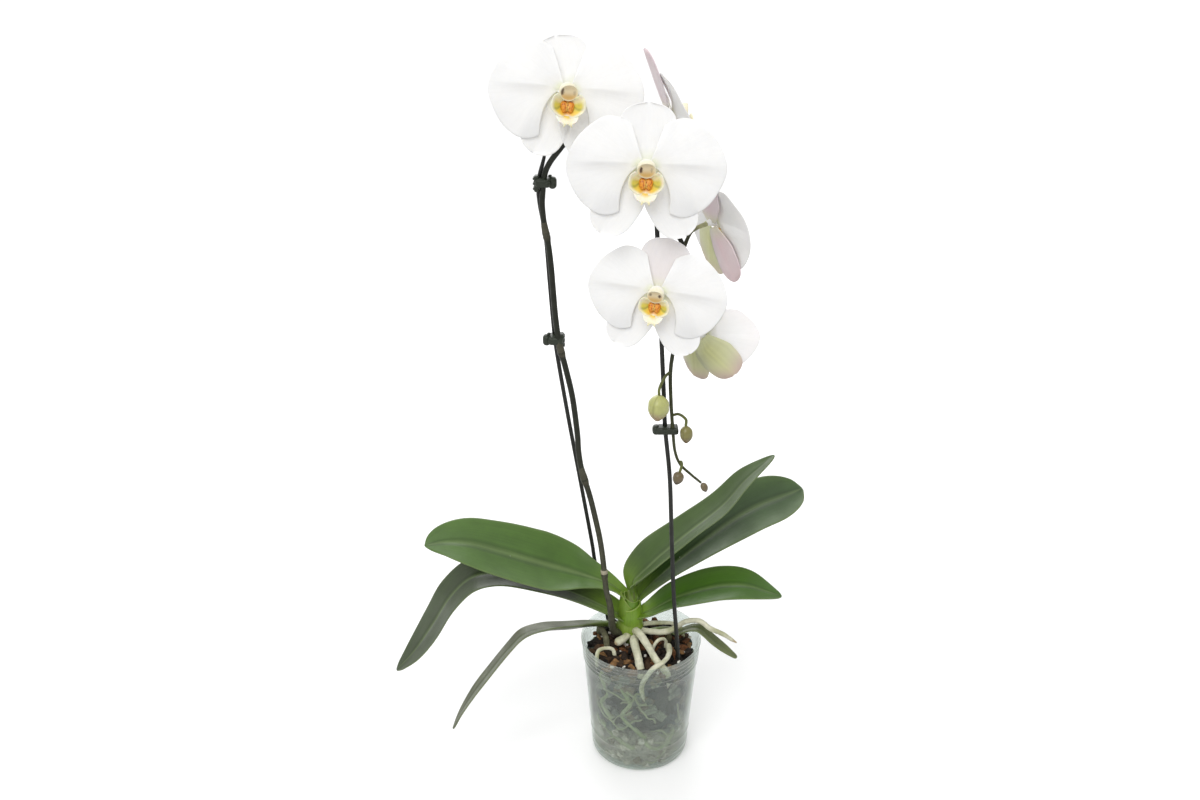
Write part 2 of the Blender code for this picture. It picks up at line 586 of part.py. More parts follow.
def build_pot(material):
    """The tapered pot with a narrow lip, fine rings under it and drainage holes in its base."""
    corner = math.sqrt(0.5)
    outside = [(0, 0), (BASE_RADIUS - BASE_CORNER, 0),
               (BASE_RADIUS - BASE_CORNER * (1 - corner), BASE_CORNER * (1 - corner)),
               (BASE_RADIUS, BASE_CORNER)]
    for height in RING_HEIGHTS:
        wall = pot_outer_radius(height)
        outside += [(wall, height - RING_SPACING / 2), (wall + RING_REACH, height)]
    lip_foot = POT_HEIGHT - LIP_HEIGHT
    outside += [(pot_outer_radius(lip_foot), lip_foot - RING_SPACING / 4),
                (RIM_RADIUS, lip_foot + LIP_HEIGHT / 4),
                (RIM_RADIUS, POT_HEIGHT - LIP_HEIGHT / 6), (RIM_RADIUS - LIP_THICKNESS / 3, POT_HEIGHT)]
    inside = [(pot_inner_radius(POT_HEIGHT), POT_HEIGHT), (pot_inner_radius(lip_foot), lip_foot),
              (pot_inner_radius(WALL + BASE_CORNER), WALL + BASE_CORNER),
              (pot_inner_radius(WALL) - BASE_CORNER, WALL), (0, WALL)]
    pot = revolved("pot", outside + inside, POT_SIDES, material)
    drills = []
    for step in range(DRAIN_COUNT):
        angle = math.tau * (step + 0.5) / DRAIN_COUNT
        foot = Vector((DRAIN_CIRCLE * math.cos(angle), DRAIN_CIRCLE * math.sin(angle), -WALL))
        drills.append(tube("drill", [foot, foot + Vector((0, 0, 3 * WALL))], [DRAIN_RADIUS / MM] * 2,
                           DRAIN_SIDES))
    return combine(pot, drills, "DIFFERENCE")


def mix_height(x, y):
    """The height of the mix's uneven top at a place."""
    swell = noise.noise(Vector((x, y, 0)) * 45) + 0.5 * noise.noise(Vector((x, y, 1)) * 130)
    return MIX_TOP + MIX_ROUGHNESS * swell


def build_mix(material, cutters):
    """The bark mix, raised into chips at its top, with a plain hole for all that stands in it."""
    side = [(0, WALL + TOUCH_GAP), (pot_inner_radius(WALL) - BASE_CORNER - TOUCH_GAP, WALL + TOUCH_GAP)]
    for height in (WALL + BASE_CORNER, MIX_TOP - MIX_ROUGHNESS * 2):
        side.append((pot_inner_radius(height) - WALL_CLEARANCE, height))
    edge = pot_inner_radius(MIX_TOP) - WALL_CLEARANCE
    for share in MIX_RING_SHARES:
        side.append((edge * share, MIX_TOP))
    side.append((0, MIX_TOP))
    mix = revolved("potting_mix", side, MIX_SIDES, material)
    for vert in mix.data.vertices:
        if vert.co.z > MIX_TOP - MIX_ROUGHNESS:
            vert.co.z = mix_height(vert.co.x, vert.co.y)
    draw = random.Random(SEED)
    chips = []
    golden = math.pi * (3 - math.sqrt(5))
    for index in range(CHIP_COUNT):
        length, width = draw.uniform(*CHIP_LENGTH), draw.uniform(*CHIP_WIDTH)
        reach = (edge - 0.6 * length) * math.sqrt((index + 0.6) / CHIP_COUNT)
        angle = index * golden
        spot = Vector((reach * math.cos(angle), reach * math.sin(angle), draw.uniform(*CHIP_LAYER)))
        bm = bmesh.new()
        bmesh.ops.create_cube(bm, size=1.0)
        size = Matrix.Diagonal((length, width, draw.uniform(*CHIP_THICKNESS), 1.0))
        turn = Matrix.Rotation(draw.uniform(0, math.pi), 4, "Z")
        tilt = Matrix.Rotation(draw.uniform(-CHIP_TILT, CHIP_TILT), 4, "X")
        lean = Matrix.Rotation(draw.uniform(-CHIP_LEAN, CHIP_LEAN), 4, "Y")
        bmesh.ops.transform(bm, matrix=Matrix.Translation(spot) @ turn @ tilt @ lean @ size, verts=bm.verts)
        for vert in bm.verts:
            vert.co += Vector([draw.uniform(-CHIP_WEAR, CHIP_WEAR) for _ in range(3)])
        bmesh.ops.triangulate(bm, faces=bm.faces)
        chips.append(new_piece("chip", bm, None, smooth=False))
    combine(mix, chips, "UNION")
    return combine(mix, cutters, "DIFFERENCE")


def crown_sheaths():
    """For each leaf, the path of the sheath that it grows from."""
    paths = []
    for leaf in LEAVES.values():
        midline = smooth_path(leaf["midline"], 60)
        foot = midline[0]
        axis = mm(CROWN_AXIS[0])
        start = Vector((axis.x, axis.y, foot.z - SHEATH_SINK))
        run = [point for point in midline if (point - foot).length < SHEATH_LENGTH]
        paths.append([start] + run[::max(len(run) // 3, 1)])
    return paths


def build_crown(material, grow=0.0):
    """The stem and the leaf sheaths stacked on it, grown a little larger for cutting a neighbour."""
    radii = spread(CROWN_RADII, CROWN_RINGS)
    stem = tube("crown", smooth_path(CROWN_AXIS, CROWN_RINGS), radii, CROWN_SIDES, material, grow)
    sheaths = [tube("sheath", path, spread(SHEATH_RADII, len(path)), SHEATH_SIDES, None, grow)
               for path in crown_sheaths()]
    return combine(stem, sheaths, "UNION", FLAT_ANGLE)


def cut_by_crown(piece):
    """Cut a piece back from the crown by the gap that touching pieces keep."""
    return combine(piece, [build_crown(None, HOLE_GAP)], "DIFFERENCE")


def build_leaf(name, leaf, material):
    """A thick strap leaf, folded at its base and opening out along its arch."""
    path = smooth_path(leaf["midline"], LEAF_ROWS)
    ways = tangents(path)
    heading = path[-1] - path[0]
    hand = -1 if heading.x > 0 else 1
    aside = heading.cross(Vector((0, 0, -hand))).normalized()
    rows = []
    for index, (point, way) in enumerate(zip(path, ways)):
        place = index / (LEAF_ROWS - 1)
        side = (aside - way * aside.dot(way)).normalized()
        up = way.cross(side) * hand
        turn = math.radians(leaf["turn"][0] * (1 - place) + leaf["turn"][1] * place)
        side, up = (side * math.cos(turn) - up * math.sin(turn),
                    up * math.cos(turn) + side * math.sin(turn))
        half = eased(leaf["widths"], place) * MM
        rise = leaf["fold"][0] * (1 - place)**2 + leaf["fold"][1]
        row = []
        for column in range(LEAF_COLUMNS + 1):
            across = 2 * column / LEAF_COLUMNS - 1
            shape = math.copysign(abs(across)**LEAF_COLUMN_POWER, across)
            lift = half * rise * (abs(across)**LEAF_FOLD_POWER - 1)
            narrow = 1 / math.sqrt(1 + rise**2 / 2)
            row.append(point + side * half * shape * narrow + up * lift)
        rows.append(row)

    def thickness(i, j):
        middle = 1 - abs(2 * j / LEAF_COLUMNS - 1)
        taper = 1 - LEAF_TIP_THINNING * i / (LEAF_ROWS - 1)
        return (LEAF_EDGE_THICKNESS + (LEAF_MIDRIB_THICKNESS - LEAF_EDGE_THICKNESS) * middle) * taper

    return cut_by_crown(thick_sheet(name, rows, thickness, material))


def root_tube(name, points, ends, material, grow=0.0):
    """A root along points, tapering between its two end radii, uneven and blunt at its tip."""
    rings = round(ROOT_RINGS_A_POINT * len(points))
    radii = []
    for index in range(rings):
        place = index / (rings - 1)
        radii.append((ends[0] + (ends[1] - ends[0]) * place) * eased(ROOT_SHARES, place))
    return tube(name, smooth_path(points, rings), radii, ROOT_SIDES, material, grow)


def wall_root_points(turns):
    """The path of a root that winds against the inside of the wall and dives in at both ends."""
    points = []
    for index, (angle, height) in enumerate(turns):
        reach = pot_inner_radius(height * MM) - 3 * TOUCH_GAP - WALL_ROOT_RADIUS * 1.1
        ends = (index == 0, index == len(turns) - 1)
        for dive in ((WALL_ROOT_DIVE, 0) if ends[0] else (0, WALL_ROOT_DIVE) if ends[1] else (0,)):
            turn = math.radians(angle)
            points.append(((reach - dive) / MM * math.sin(turn),
                           -(reach - dive) / MM * math.cos(turn), height + dive / MM / 4))
    return points


def standing_tubes(finishes, grow=0.0):
    """Everything of round section that stands or lies in the mix."""
    pieces = {}
    for name, (points, ends) in ROOTS.items():
        pieces[name] = root_tube(name, points, ends, finishes["root_silver"], grow)
    for index, turns in enumerate(WALL_ROOTS):
        name = f"wall_root_{index + 1}"
        pieces[name] = root_tube(name, wall_root_points(turns), [WALL_ROOT_RADIUS / MM] * 2,
                                 finishes["root_green"], grow)
    pieces["old_stem"] = root_tube("old_stem", OLD_STEM, [OLD_STEM_RADIUS / MM] * 2,
                                   finishes["dry_stem"], grow)
    radii = [CUT_SPIKE_RADIUS / MM] * len(CUT_SPIKE)
    pieces["cut_spike"] = tube("cut_spike", [mm(point) for point in CUT_SPIKE], radii, CUT_SPIKE_SIDES,
                               finishes["dry_stem"], grow)
    for name, points in STAKES.items():
        pieces[name] = build_stake(name, points, finishes["stake_black"], grow)
    return pieces


def build_stake(name, points, material, grow=0.0):
    """A thin plastic stake, bent a little by what it holds."""
    thick = STAKE_RADIUS / MM
    radii = [thick * 0.5] + [thick] * (STAKE_RINGS - 2) + [thick * 0.7]
    return tube(name, smooth_path(points, STAKE_RINGS), radii, STAKE_SIDES, material, grow)


def bloom_axes(bloom):
    """The bloom's right, up and forward directions."""
    yaw, pitch, lean = (math.radians(bloom[key]) for key in ("yaw", "pitch", "lean"))
    forward = Vector((math.sin(yaw) * math.cos(pitch), -math.cos(yaw) * math.cos(pitch), math.sin(pitch)))
    upright = (Vector((0, 0, 1)) - forward * forward.z).normalized()
    right = upright.cross(forward)
    up = upright * math.cos(lean) - right * math.sin(lean)
    return up.cross(forward), up, forward


def in_bloom(bloom, right, up, forward):
    """The place in the part of a point given in the bloom's own millimetres."""
    axes = bloom_axes(bloom)
    size = bloom["size"] * MM
    return mm(bloom["centre"]) + (axes[0] * right + axes[1] * up + axes[2] * forward) * size


def folded(bloom, right, up, forward):
    """A tepal's point, turned forwards past the open heart by as much as the bloom is closed."""
    turn = math.radians(bloom["close"])
    reach = max(math.hypot(right, up), 0.001)
    outer = max(reach - OPEN_HEART, 0)
    share = (reach - outer + outer * math.cos(turn)) / reach
    return in_bloom(bloom, right * share, up * share, forward + outer * math.sin(turn))


def ramp(value, start, end):
    """How far a value is from start to end, eased at both and held beyond them."""
    share = min(max((value - start) / (end - start), 0.0), 1.0)
    return share * share * (3 - 2 * share)


def petal_relief(y, share, angle):
    """How far a petal's point stands forward, y above its foot and a share of the way out."""
    below = CREASE_HEIGHT - y
    if below < 0:
        crease = CREASE_RISE * math.exp(-((below / CREASE_ABOVE)**2))
    else:
        drop = min(below / CREASE_STEP, 1.0)
        crease = CREASE_RISE - CREASE_FALL * (1 - (1 - drop)**2)
        crease += CREASE_RETURN * ramp(below, CREASE_STEP, CREASE_BELOW)
    reflex = PETAL_REFLEX * (share**2) * (abs(y) / 40)**1.5
    wave = PETAL_WAVE * math.sin(math.radians(angle) * PETAL_WAVES + 0.8) * share**3
    return PETAL_FRONT + crease * eased(CREASE_ENDS, share) - reflex + wave


def petal(bloom, mirror):
    """One broad petal, fanned out from its narrow foot with a level crease along its middle."""
    rows = []
    for share in PETAL_RINGS:
        row = []
        for angle, reach in PETAL_OUTLINE:
            bend = PETAL_BEND * ramp(-angle, 0, PETAL_BEND_ANGLE)
            turn = math.radians(angle * bloom["fan"]) * share**bend
            x = PETAL_FOOT + reach * share * math.cos(turn)
            y = reach * share * math.sin(turn)
            row.append(folded(bloom, mirror * x, y, petal_relief(y, share, angle)))
        rows.append(row)
    return thick_sheet("petal", rows, lambda i, j: PETAL_THICKNESS)


def sepal(bloom, shape, mirror=1, nod=0, size=(1.0, 1.0)):
    """One oval sepal behind the petals, turned by nod degrees, with its length and width scaled."""
    rows = []
    angle = math.radians(shape["angle"] + nod)
    away = Vector((math.cos(angle), math.sin(angle)))
    aside = Vector((-away.y, away.x))
    for place in SEPAL_PLACES:
        row = []
        half = shape["half_width"] * size[1] * eased(SEPAL_WIDTHS, place)
        for column in range(SEPAL_COLUMNS + 1):
            across = 2 * column / SEPAL_COLUMNS - 1
            spot = Vector(shape["foot"]) + away * shape["length"] * size[0] * place + aside * half * across
            cup = SEPAL_CUP * across**2 * place - SEPAL_REFLEX * place**2
            depth = SEPAL_DEPTH + LATERAL_STAGGER * min(mirror, 0)
            row.append(folded(bloom, mirror * spot.x, spot.y, depth + cup))
        rows.append(row)
    return thick_sheet("sepal", rows, lambda i, j: SEPAL_THICKNESS)


def column(bloom, material=None, grow=0.0, name="column"):
    """The column with the neck behind it that the stalk holds."""
    path = [in_bloom(bloom, *point) for point in COLUMN]
    radii = [radius * bloom["size"] for radius in COLUMN_RADII]
    return tube(name, path, radii, COLUMN_SIDES, material, grow)


def build_bloom(name, bloom, material):
    """The white body of a bloom: column, two petals and three sepals, grown as one."""
    body = column(bloom, material, name=name)
    lateral = (bloom["lateral"], bloom["lateral_width"])
    tepals = [petal(bloom, 1), petal(bloom, -1), sepal(bloom, DORSAL, 1, bloom["nod"], (bloom["dorsal"], 1)),
              sepal(bloom, LATERAL, 1, -bloom["hang"], lateral),
              sepal(bloom, LATERAL, -1, -bloom["hang"], lateral)]
    return combine(body, tepals, "UNION")


def throat_pad(bloom, mirror):
    """One rounded pad of the callus in the lip's throat."""
    bm = bmesh.new()
    bmesh.ops.create_uvsphere(bm, u_segments=PAD_SIDES, v_segments=PAD_RINGS, radius=1.0)
    for vert in bm.verts:
        spot = [middle + size * place for middle, size, place in zip(PAD_MIDDLE, PAD_SIZE, vert.co)]
        vert.co = in_bloom(bloom, mirror * spot[0], spot[1], spot[2])
    return new_piece("pad", bm, None)


def build_lip(name, bloom, material):
    """The lip: a bowl with two upright side lobes, a broad middle lobe, two fine tails and two pads."""
    cup = []
    for place in LIP_PLACES:
        row = []
        for step in range(LIP_COLUMNS + 1):
            turn = math.radians(LIP_TURN * (2 * step / LIP_COLUMNS - 1))
            high = abs(math.sin(turn / 2))
            lobe = 1 - LIP_NOTCH * ramp(high, 0.84, 0.925)
            radius = LIP_HEART + place * (LIP_RADIUS + LIP_FLARE * high) * lobe
            forward = LIP_BACK + place**1.3 * (LIP_DEPTH + SIDE_LOBE_REACH * high)
            row.append(in_bloom(bloom, radius * math.sin(turn), LIP_CENTRE - radius * math.cos(turn),
                                forward))
        cup.append(row)
    body = thick_sheet(name, cup, lambda i, j: LIP_THICKNESS_CUP, material)
    middle = []
    for place in LIP_PLACES:
        half = eased(MIDDLE_LOBE_WIDTHS, place)
        hollow = MIDDLE_LOBE_CUP[0] + (MIDDLE_LOBE_CUP[1] - MIDDLE_LOBE_CUP[0]) * place
        row = []
        for step in range(MIDDLE_LOBE_COLUMNS + 1):
            across = 2 * step / MIDDLE_LOBE_COLUMNS - 1
            up = MIDDLE_LOBE_FOOT[0] - MIDDLE_LOBE_FALL * place + hollow * across**2
            row.append(in_bloom(bloom, half * across, up, MIDDLE_LOBE_FOOT[1] + MIDDLE_LOBE_REACH * place))
        middle.append(row)
    parts = [thick_sheet("middle_lobe", middle, lambda i, j: MIDDLE_LOBE_THICKNESS)]
    size = bloom["size"]
    for mirror in (-1, 1):
        tail = [in_bloom(bloom, mirror * x, y, z) for x, y, z in TAIL]
        radii = [radius * size for radius in spread(TAIL_RADII, len(tail))]
        parts.append(tube("tail", tail, radii, TAIL_SIDES))
        parts.append(throat_pad(bloom, mirror))
    claw = [in_bloom(bloom, 0, y, z) for y, z in CLAW]
    parts.append(tube("claw", claw, [CLAW_RADIUS * size] * len(claw), CLAW_SIDES))
    combine(body, parts, "UNION")
    return combine(body, [column(bloom, None, TOUCH_GAP)], "DIFFERENCE")


def spike_stem(material=None, grow=0.0, name="stem"):
    """The spike's stem, a little thicker at each of its nodes."""
    fine = smooth_path(SPIKE, SPIKE_STEPS + 1)
    places = {round(SPIKE_STEPS * step / (SPIKE_RINGS - 1)): 1.0 for step in range(SPIKE_RINGS)}
    for node in NODE_PLACES:
        middle = round(SPIKE_STEPS * node)
        for place in [place for place in places if abs(place - middle) < 2 * NODE_STEPS]:
            del places[place]
        places.update({middle - NODE_STEPS: 1.0, middle: NODE_SWELL, middle + NODE_STEPS: 1.0})
    order = sorted(places)
    radii = [eased(SPIKE_RADII, place / SPIKE_STEPS) * places[place] for place in order]
    return tube(name, [fine[place] for place in order], radii, SPIKE_SIDES, material, grow)


def build_spike(material):
    """The flower spike: its stem, the nodes on it and the stalks of the blooms and buds."""
    stem = spike_stem(material, name="flower_spike")
    fine = smooth_path(SPIKE, SPIKE_STEPS + 1)
    parts = []
    for bloom in BLOOMS.values():
        forward = bloom_axes(bloom)[2]
        end = mm(bloom["centre"]) - forward * STALK_BACK * bloom["size"]
        node = min(fine, key=lambda point: (point - mm(bloom["node"])).length)
        turn = end - forward * STALK_RUN
        middle = node.lerp(turn, 0.5) + Vector((0, 0, STALK_ARCH))
        points = [point / MM for point in (node, middle, turn, end)]
        stalk = smooth_path(points, STALK_RINGS)[:-1] + [end - forward * STALK_SEAT, end]
        parts.append(tube("stalk", stalk, spread(STALK_RADII, len(stalk)), STALK_SIDES))
    for bud in BUDS.values():
        if bud["node"]:
            node = min(fine, key=lambda point: (point - mm(bud["node"])).length)
            tip = Vector(bud["tip"]).normalized()
            end = mm(bud["centre"]) - tip * (bud["size"][0] / 2 * MM + TOUCH_GAP)
            turn = end - tip * BUD_STALK_RUN
            middle = node.lerp(turn, 0.5) + Vector((0, 0, BUD_STALK_ARCH))
            points = [point / MM for point in (node, middle, turn, end)]
            stalk = smooth_path(points, BUD_STALK_RINGS)[:-1] + [end - tip * BUD_STALK_SEAT, end]
            parts.append(tube("bud_stalk", stalk, [BUD_STALK_RADIUS / MM] * len(stalk), STALK_SIDES))
    combine(stem, parts, "UNION")
    return cut_by_crown(stem)


def build_bud(name, bud, material):
    """A closed bud, ribbed where its three sepals meet."""
    tip = Vector(bud["tip"]).normalized()
    length, width = bud["size"][0] * MM, bud["size"][1] * MM
    side = tip.cross(Vector((0, 1, 0))).normalized()
    other = tip.cross(side)
    bm = bmesh.new()
    rings = []
    for place, share in BUD_PROFILE:
        ring = []
        for step in range(BUD_SIDES):
            angle = math.tau * step / BUD_SIDES
            rib = 1 + BUD_RIB_HEIGHT * math.cos(BUD_RIBS * angle)
            reach = width / 2 * share * rib
            ring.append(bm.verts.new(mm(bud["centre"]) + tip * length * (place - 0.5)
                                     + (side * math.cos(angle) + other * math.sin(angle)) * reach))
        rings.append(ring)
    for ring, following in zip(rings, rings[1:]):
        for step in range(BUD_SIDES):
            ahead = (step + 1) % BUD_SIDES
            bm.faces.new((ring[step], ring[ahead], following[ahead], following[step]))
    bm.faces.new(reversed(rings[0]))
    bm.faces.new(rings[-1])
    return new_piece(name, bm, material)


def build_clip(name, clip, material):
    """A small spring clip round a stake and the spike: a band, a thumb lobe and a ribbed jaw."""
    blocks = []
    for size, (aside, back, height), corner in CLIP_FORMS[clip["form"]]:
        centre = mm(clip["centre"]) + mm((clip["lobe"] * aside, back, height))
        bm = bmesh.new()
        bmesh.ops.create_cube(bm, size=1.0)
        bmesh.ops.transform(bm, matrix=Matrix.Translation(centre) @ Matrix.Diagonal((*mm(size), 1)),
                            verts=bm.verts)
        half = size[2] * MM / 2
        upright = [edge for edge in bm.edges if abs(edge.verts[0].co.z - edge.verts[1].co.z) > half]
        if corner:
            bmesh.ops.bevel(bm, geom=upright, offset=corner * MM, segments=1, affect="EDGES", profile=0.5)
        blocks.append(new_piece("block", bm, None))
    band, *parts = blocks
    band.name = name
    band.data.materials.append(material)
    combine(band, parts, "UNION")
    hollow = [spike_stem(grow=TOUCH_GAP)]
    hollow += [build_stake("rod", points, None, TOUCH_GAP) for points in STAKES.values()]
    return combine(band, hollow, "DIFFERENCE")


def main():
    """Build every piece."""
    clear_scene()
    finishes = {name: finish(name, *look) for name, look in FINISHES.items()}
    build_pot(finishes["clear_plastic"])
    cutters = list(standing_tubes(finishes, HOLE_GAP).values()) + [build_crown(None, TOUCH_GAP)]
    build_mix(finishes["bark_mix"], cutters)
    build_crown(finishes["crown_green"])
    for name, piece in standing_tubes(finishes).items():
        piece.name = name
        if name in ROOTS:
            cut_by_crown(piece)
    for name, leaf in LEAVES.items():
        build_leaf(name, leaf, finishes["old_leaf_green" if name in OLD_LEAVES else "leaf_green"])
    build_spike(finishes["spike_olive"])
    for name, bloom in BLOOMS.items():
        build_bloom(name, bloom, finishes["petal_white"])
        build_lip(name + "_lip", bloom, finishes["lip_yellow"])
    for name, bud in BUDS.items():
        build_bud(name, bud, finishes["bud_green"])
    for name, clip in CLIPS.items():
        build_clip(name, clip, finishes["clip_green"])


main()
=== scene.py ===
"""The looks of a potted white moth orchid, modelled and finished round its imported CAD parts.

Lengths in the tables are in millimetres, as a grower would measure them, and MM turns them into metres.
"""
import logging
import math
import random
from collections.abc import Callable, Iterable, Sequence
from dataclasses import dataclass, field
from enum import Enum

import bpy
from mathutils import Matrix, Vector, noise


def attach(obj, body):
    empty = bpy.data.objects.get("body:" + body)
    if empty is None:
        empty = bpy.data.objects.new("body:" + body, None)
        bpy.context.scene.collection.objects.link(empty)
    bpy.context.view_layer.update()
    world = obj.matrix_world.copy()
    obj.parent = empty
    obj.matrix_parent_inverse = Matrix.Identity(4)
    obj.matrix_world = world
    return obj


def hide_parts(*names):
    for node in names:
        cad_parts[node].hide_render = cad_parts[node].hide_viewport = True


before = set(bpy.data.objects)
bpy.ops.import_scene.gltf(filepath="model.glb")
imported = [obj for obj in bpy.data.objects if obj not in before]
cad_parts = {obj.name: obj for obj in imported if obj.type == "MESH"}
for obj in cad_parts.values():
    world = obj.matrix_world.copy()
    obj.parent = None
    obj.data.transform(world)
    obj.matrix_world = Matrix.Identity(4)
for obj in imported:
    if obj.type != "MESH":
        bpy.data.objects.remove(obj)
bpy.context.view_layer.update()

MM = 0.001
GAP = 0.0003  # between a bud and the end of its stalk, in metres
MERGE = 1e-7  # how near two points of a seam have to be to become one, in metres
log = logging.getLogger("orchid")

Colour = tuple[float, float, float]
Point = tuple[float, float, float]
Span = tuple[float, float]
Pairs = tuple[Span, ...]
# Each spot of painted shade in a cavity of the column face: its place across and up, its half width and half
# height, and its strength.
CavityShadeSpots = tuple[tuple[float, ...], ...]
Rows = list[list[Vector]]
Piece = bpy.types.Object
Socket = bpy.types.NodeSocket
Paint = Callable[[float, float], Colour]


class Side(Enum):
    """The side of the spike that a clip's thumb lobe stands on."""

    LEFT = -1
    RIGHT = 1


def blend(low: Colour, high: Colour, share: float) -> Colour:
    """Mix two colours.

    Args:
        low: The colour at share 0.
        high: The colour at share 1.
        share: How far to go from low to high, held within 0 to 1.

    Returns:
        The mixed colour.
    """
    share = min(max(share, 0.0), 1.0)
    return tuple(a + (b - a) * share for a, b in zip(low, high))


def ramp(value: float, start: float, end: float) -> float:
    """Rise smoothly from 0 to 1.

    Args:
        value: The value that rises.
        start: Where the result is 0.
        end: Where the result is 1.

    Returns:
        The eased share between start and end.
    """
    share = min(max((value - start) / (end - start), 0.0), 1.0)
    return share * share * (3 - 2 * share)


def eased(pairs: Pairs, place: float) -> float:
    """Read a smooth curve with no overshoot.

    Args:
        pairs: (place, value) points of the curve.
        place: Where to read it.

    Returns:
        The value there.
    """
    if place <= pairs[0][0]:
        return pairs[0][1]
    slopes = [(b[1] - a[1]) / (b[0] - a[0]) for a, b in zip(pairs, pairs[1:])]
    for index, (low, high) in enumerate(zip(pairs, pairs[1:])):
        if place <= high[0]:
            before = slopes[max(index - 1, 0)]
            after = slopes[min(index + 1, len(slopes) - 1)]
            here = slopes[index]
            start = (before + here) / 2 if before * here > 0 else 0.0
            end = (after + here) / 2 if after * here > 0 else 0.0
            step = high[0] - low[0]
            u = (place - low[0]) / step
            return ((2 * u**3 - 3 * u**2 + 1) * low[1] + (u**3 - 2 * u**2 + u) * step * start
                    + (3 * u**2 - 2 * u**3) * high[1] + (u**3 - u**2) * step * end)
    return pairs[-1][1]


def smooth_path(points: Sequence[Point], count: int) -> list[Vector]:
    """Space points evenly on a smooth curve.

    Args:
        points: The curve's own points, in millimetres.
        count: How many points to return.

    Returns:
        The points, in metres.
    """
    knots = [Vector(point) * MM for point in points]
    knots = [2 * knots[0] - knots[1]] + knots + [2 * knots[-1] - knots[-2]]
    steps = 16
    dense = []
    for p0, p1, p2, p3 in zip(knots, knots[1:], knots[2:], knots[3:]):
        for step in range(steps):
            u = step / steps
            dense.append(0.5 * (2 * p1 + (p2 - p0) * u + (2 * p0 - 5 * p1 + 4 * p2 - p3) * u**2
                                + (3 * p1 - p0 - 3 * p2 + p3) * u**3))
    dense.append(knots[-2])
    lengths = [0.0]
    for a, b in zip(dense, dense[1:]):
        lengths.append(lengths[-1] + (b - a).length)
    path, index = [], 0
    for step in range(count):
        wanted = lengths[-1] * step / (count - 1)
        while index < len(lengths) - 2 and lengths[index + 1] < wanted:
            index += 1
        share = (wanted - lengths[index]) / (lengths[index + 1] - lengths[index])
        path.append(dense[index].lerp(dense[index + 1], min(share, 1.0)))
    return path


def tangents(path: Sequence[Vector]) -> list[Vector]:
    """Find the way that a path runs.

    Args:
        path: The path's points.

    Returns:
        A direction for each point.
    """
    ahead = [*path[1:], 2 * path[-1] - path[-2]]
    behind = [2 * path[0] - path[1], *path[:-1]]
    return [(a - b).normalized() for a, b in zip(ahead, behind)]


def bell(value: float, width: float) -> float:
    """Give 1 at 0, falling away evenly to both sides over about this width."""
    return math.exp(-((value / width)**2))


def plain(colour: Colour) -> Paint:
    """Paint all of a piece in one colour."""
    return lambda along, across: colour


def stretched(point: Vector, size: Sequence[float]) -> Vector:
    """Stretch a point's three coordinates by a size."""
    return Vector([part * factor for part, factor in zip(point, size)])


def lattice(steps: int, columns: int, spot: Callable[[float, float], Vector]) -> Rows:
    """Lay out rows of points.

    Args:
        steps: How many steps the rows take along the piece.
        columns: How many steps each row takes across it.
        spot: The point at a place along (0 to 1) and across (0 to 1).

    Returns:
        The rows.
    """
    return [[spot(i / steps, j / columns) for j in range(columns + 1)] for i in range(steps + 1)]


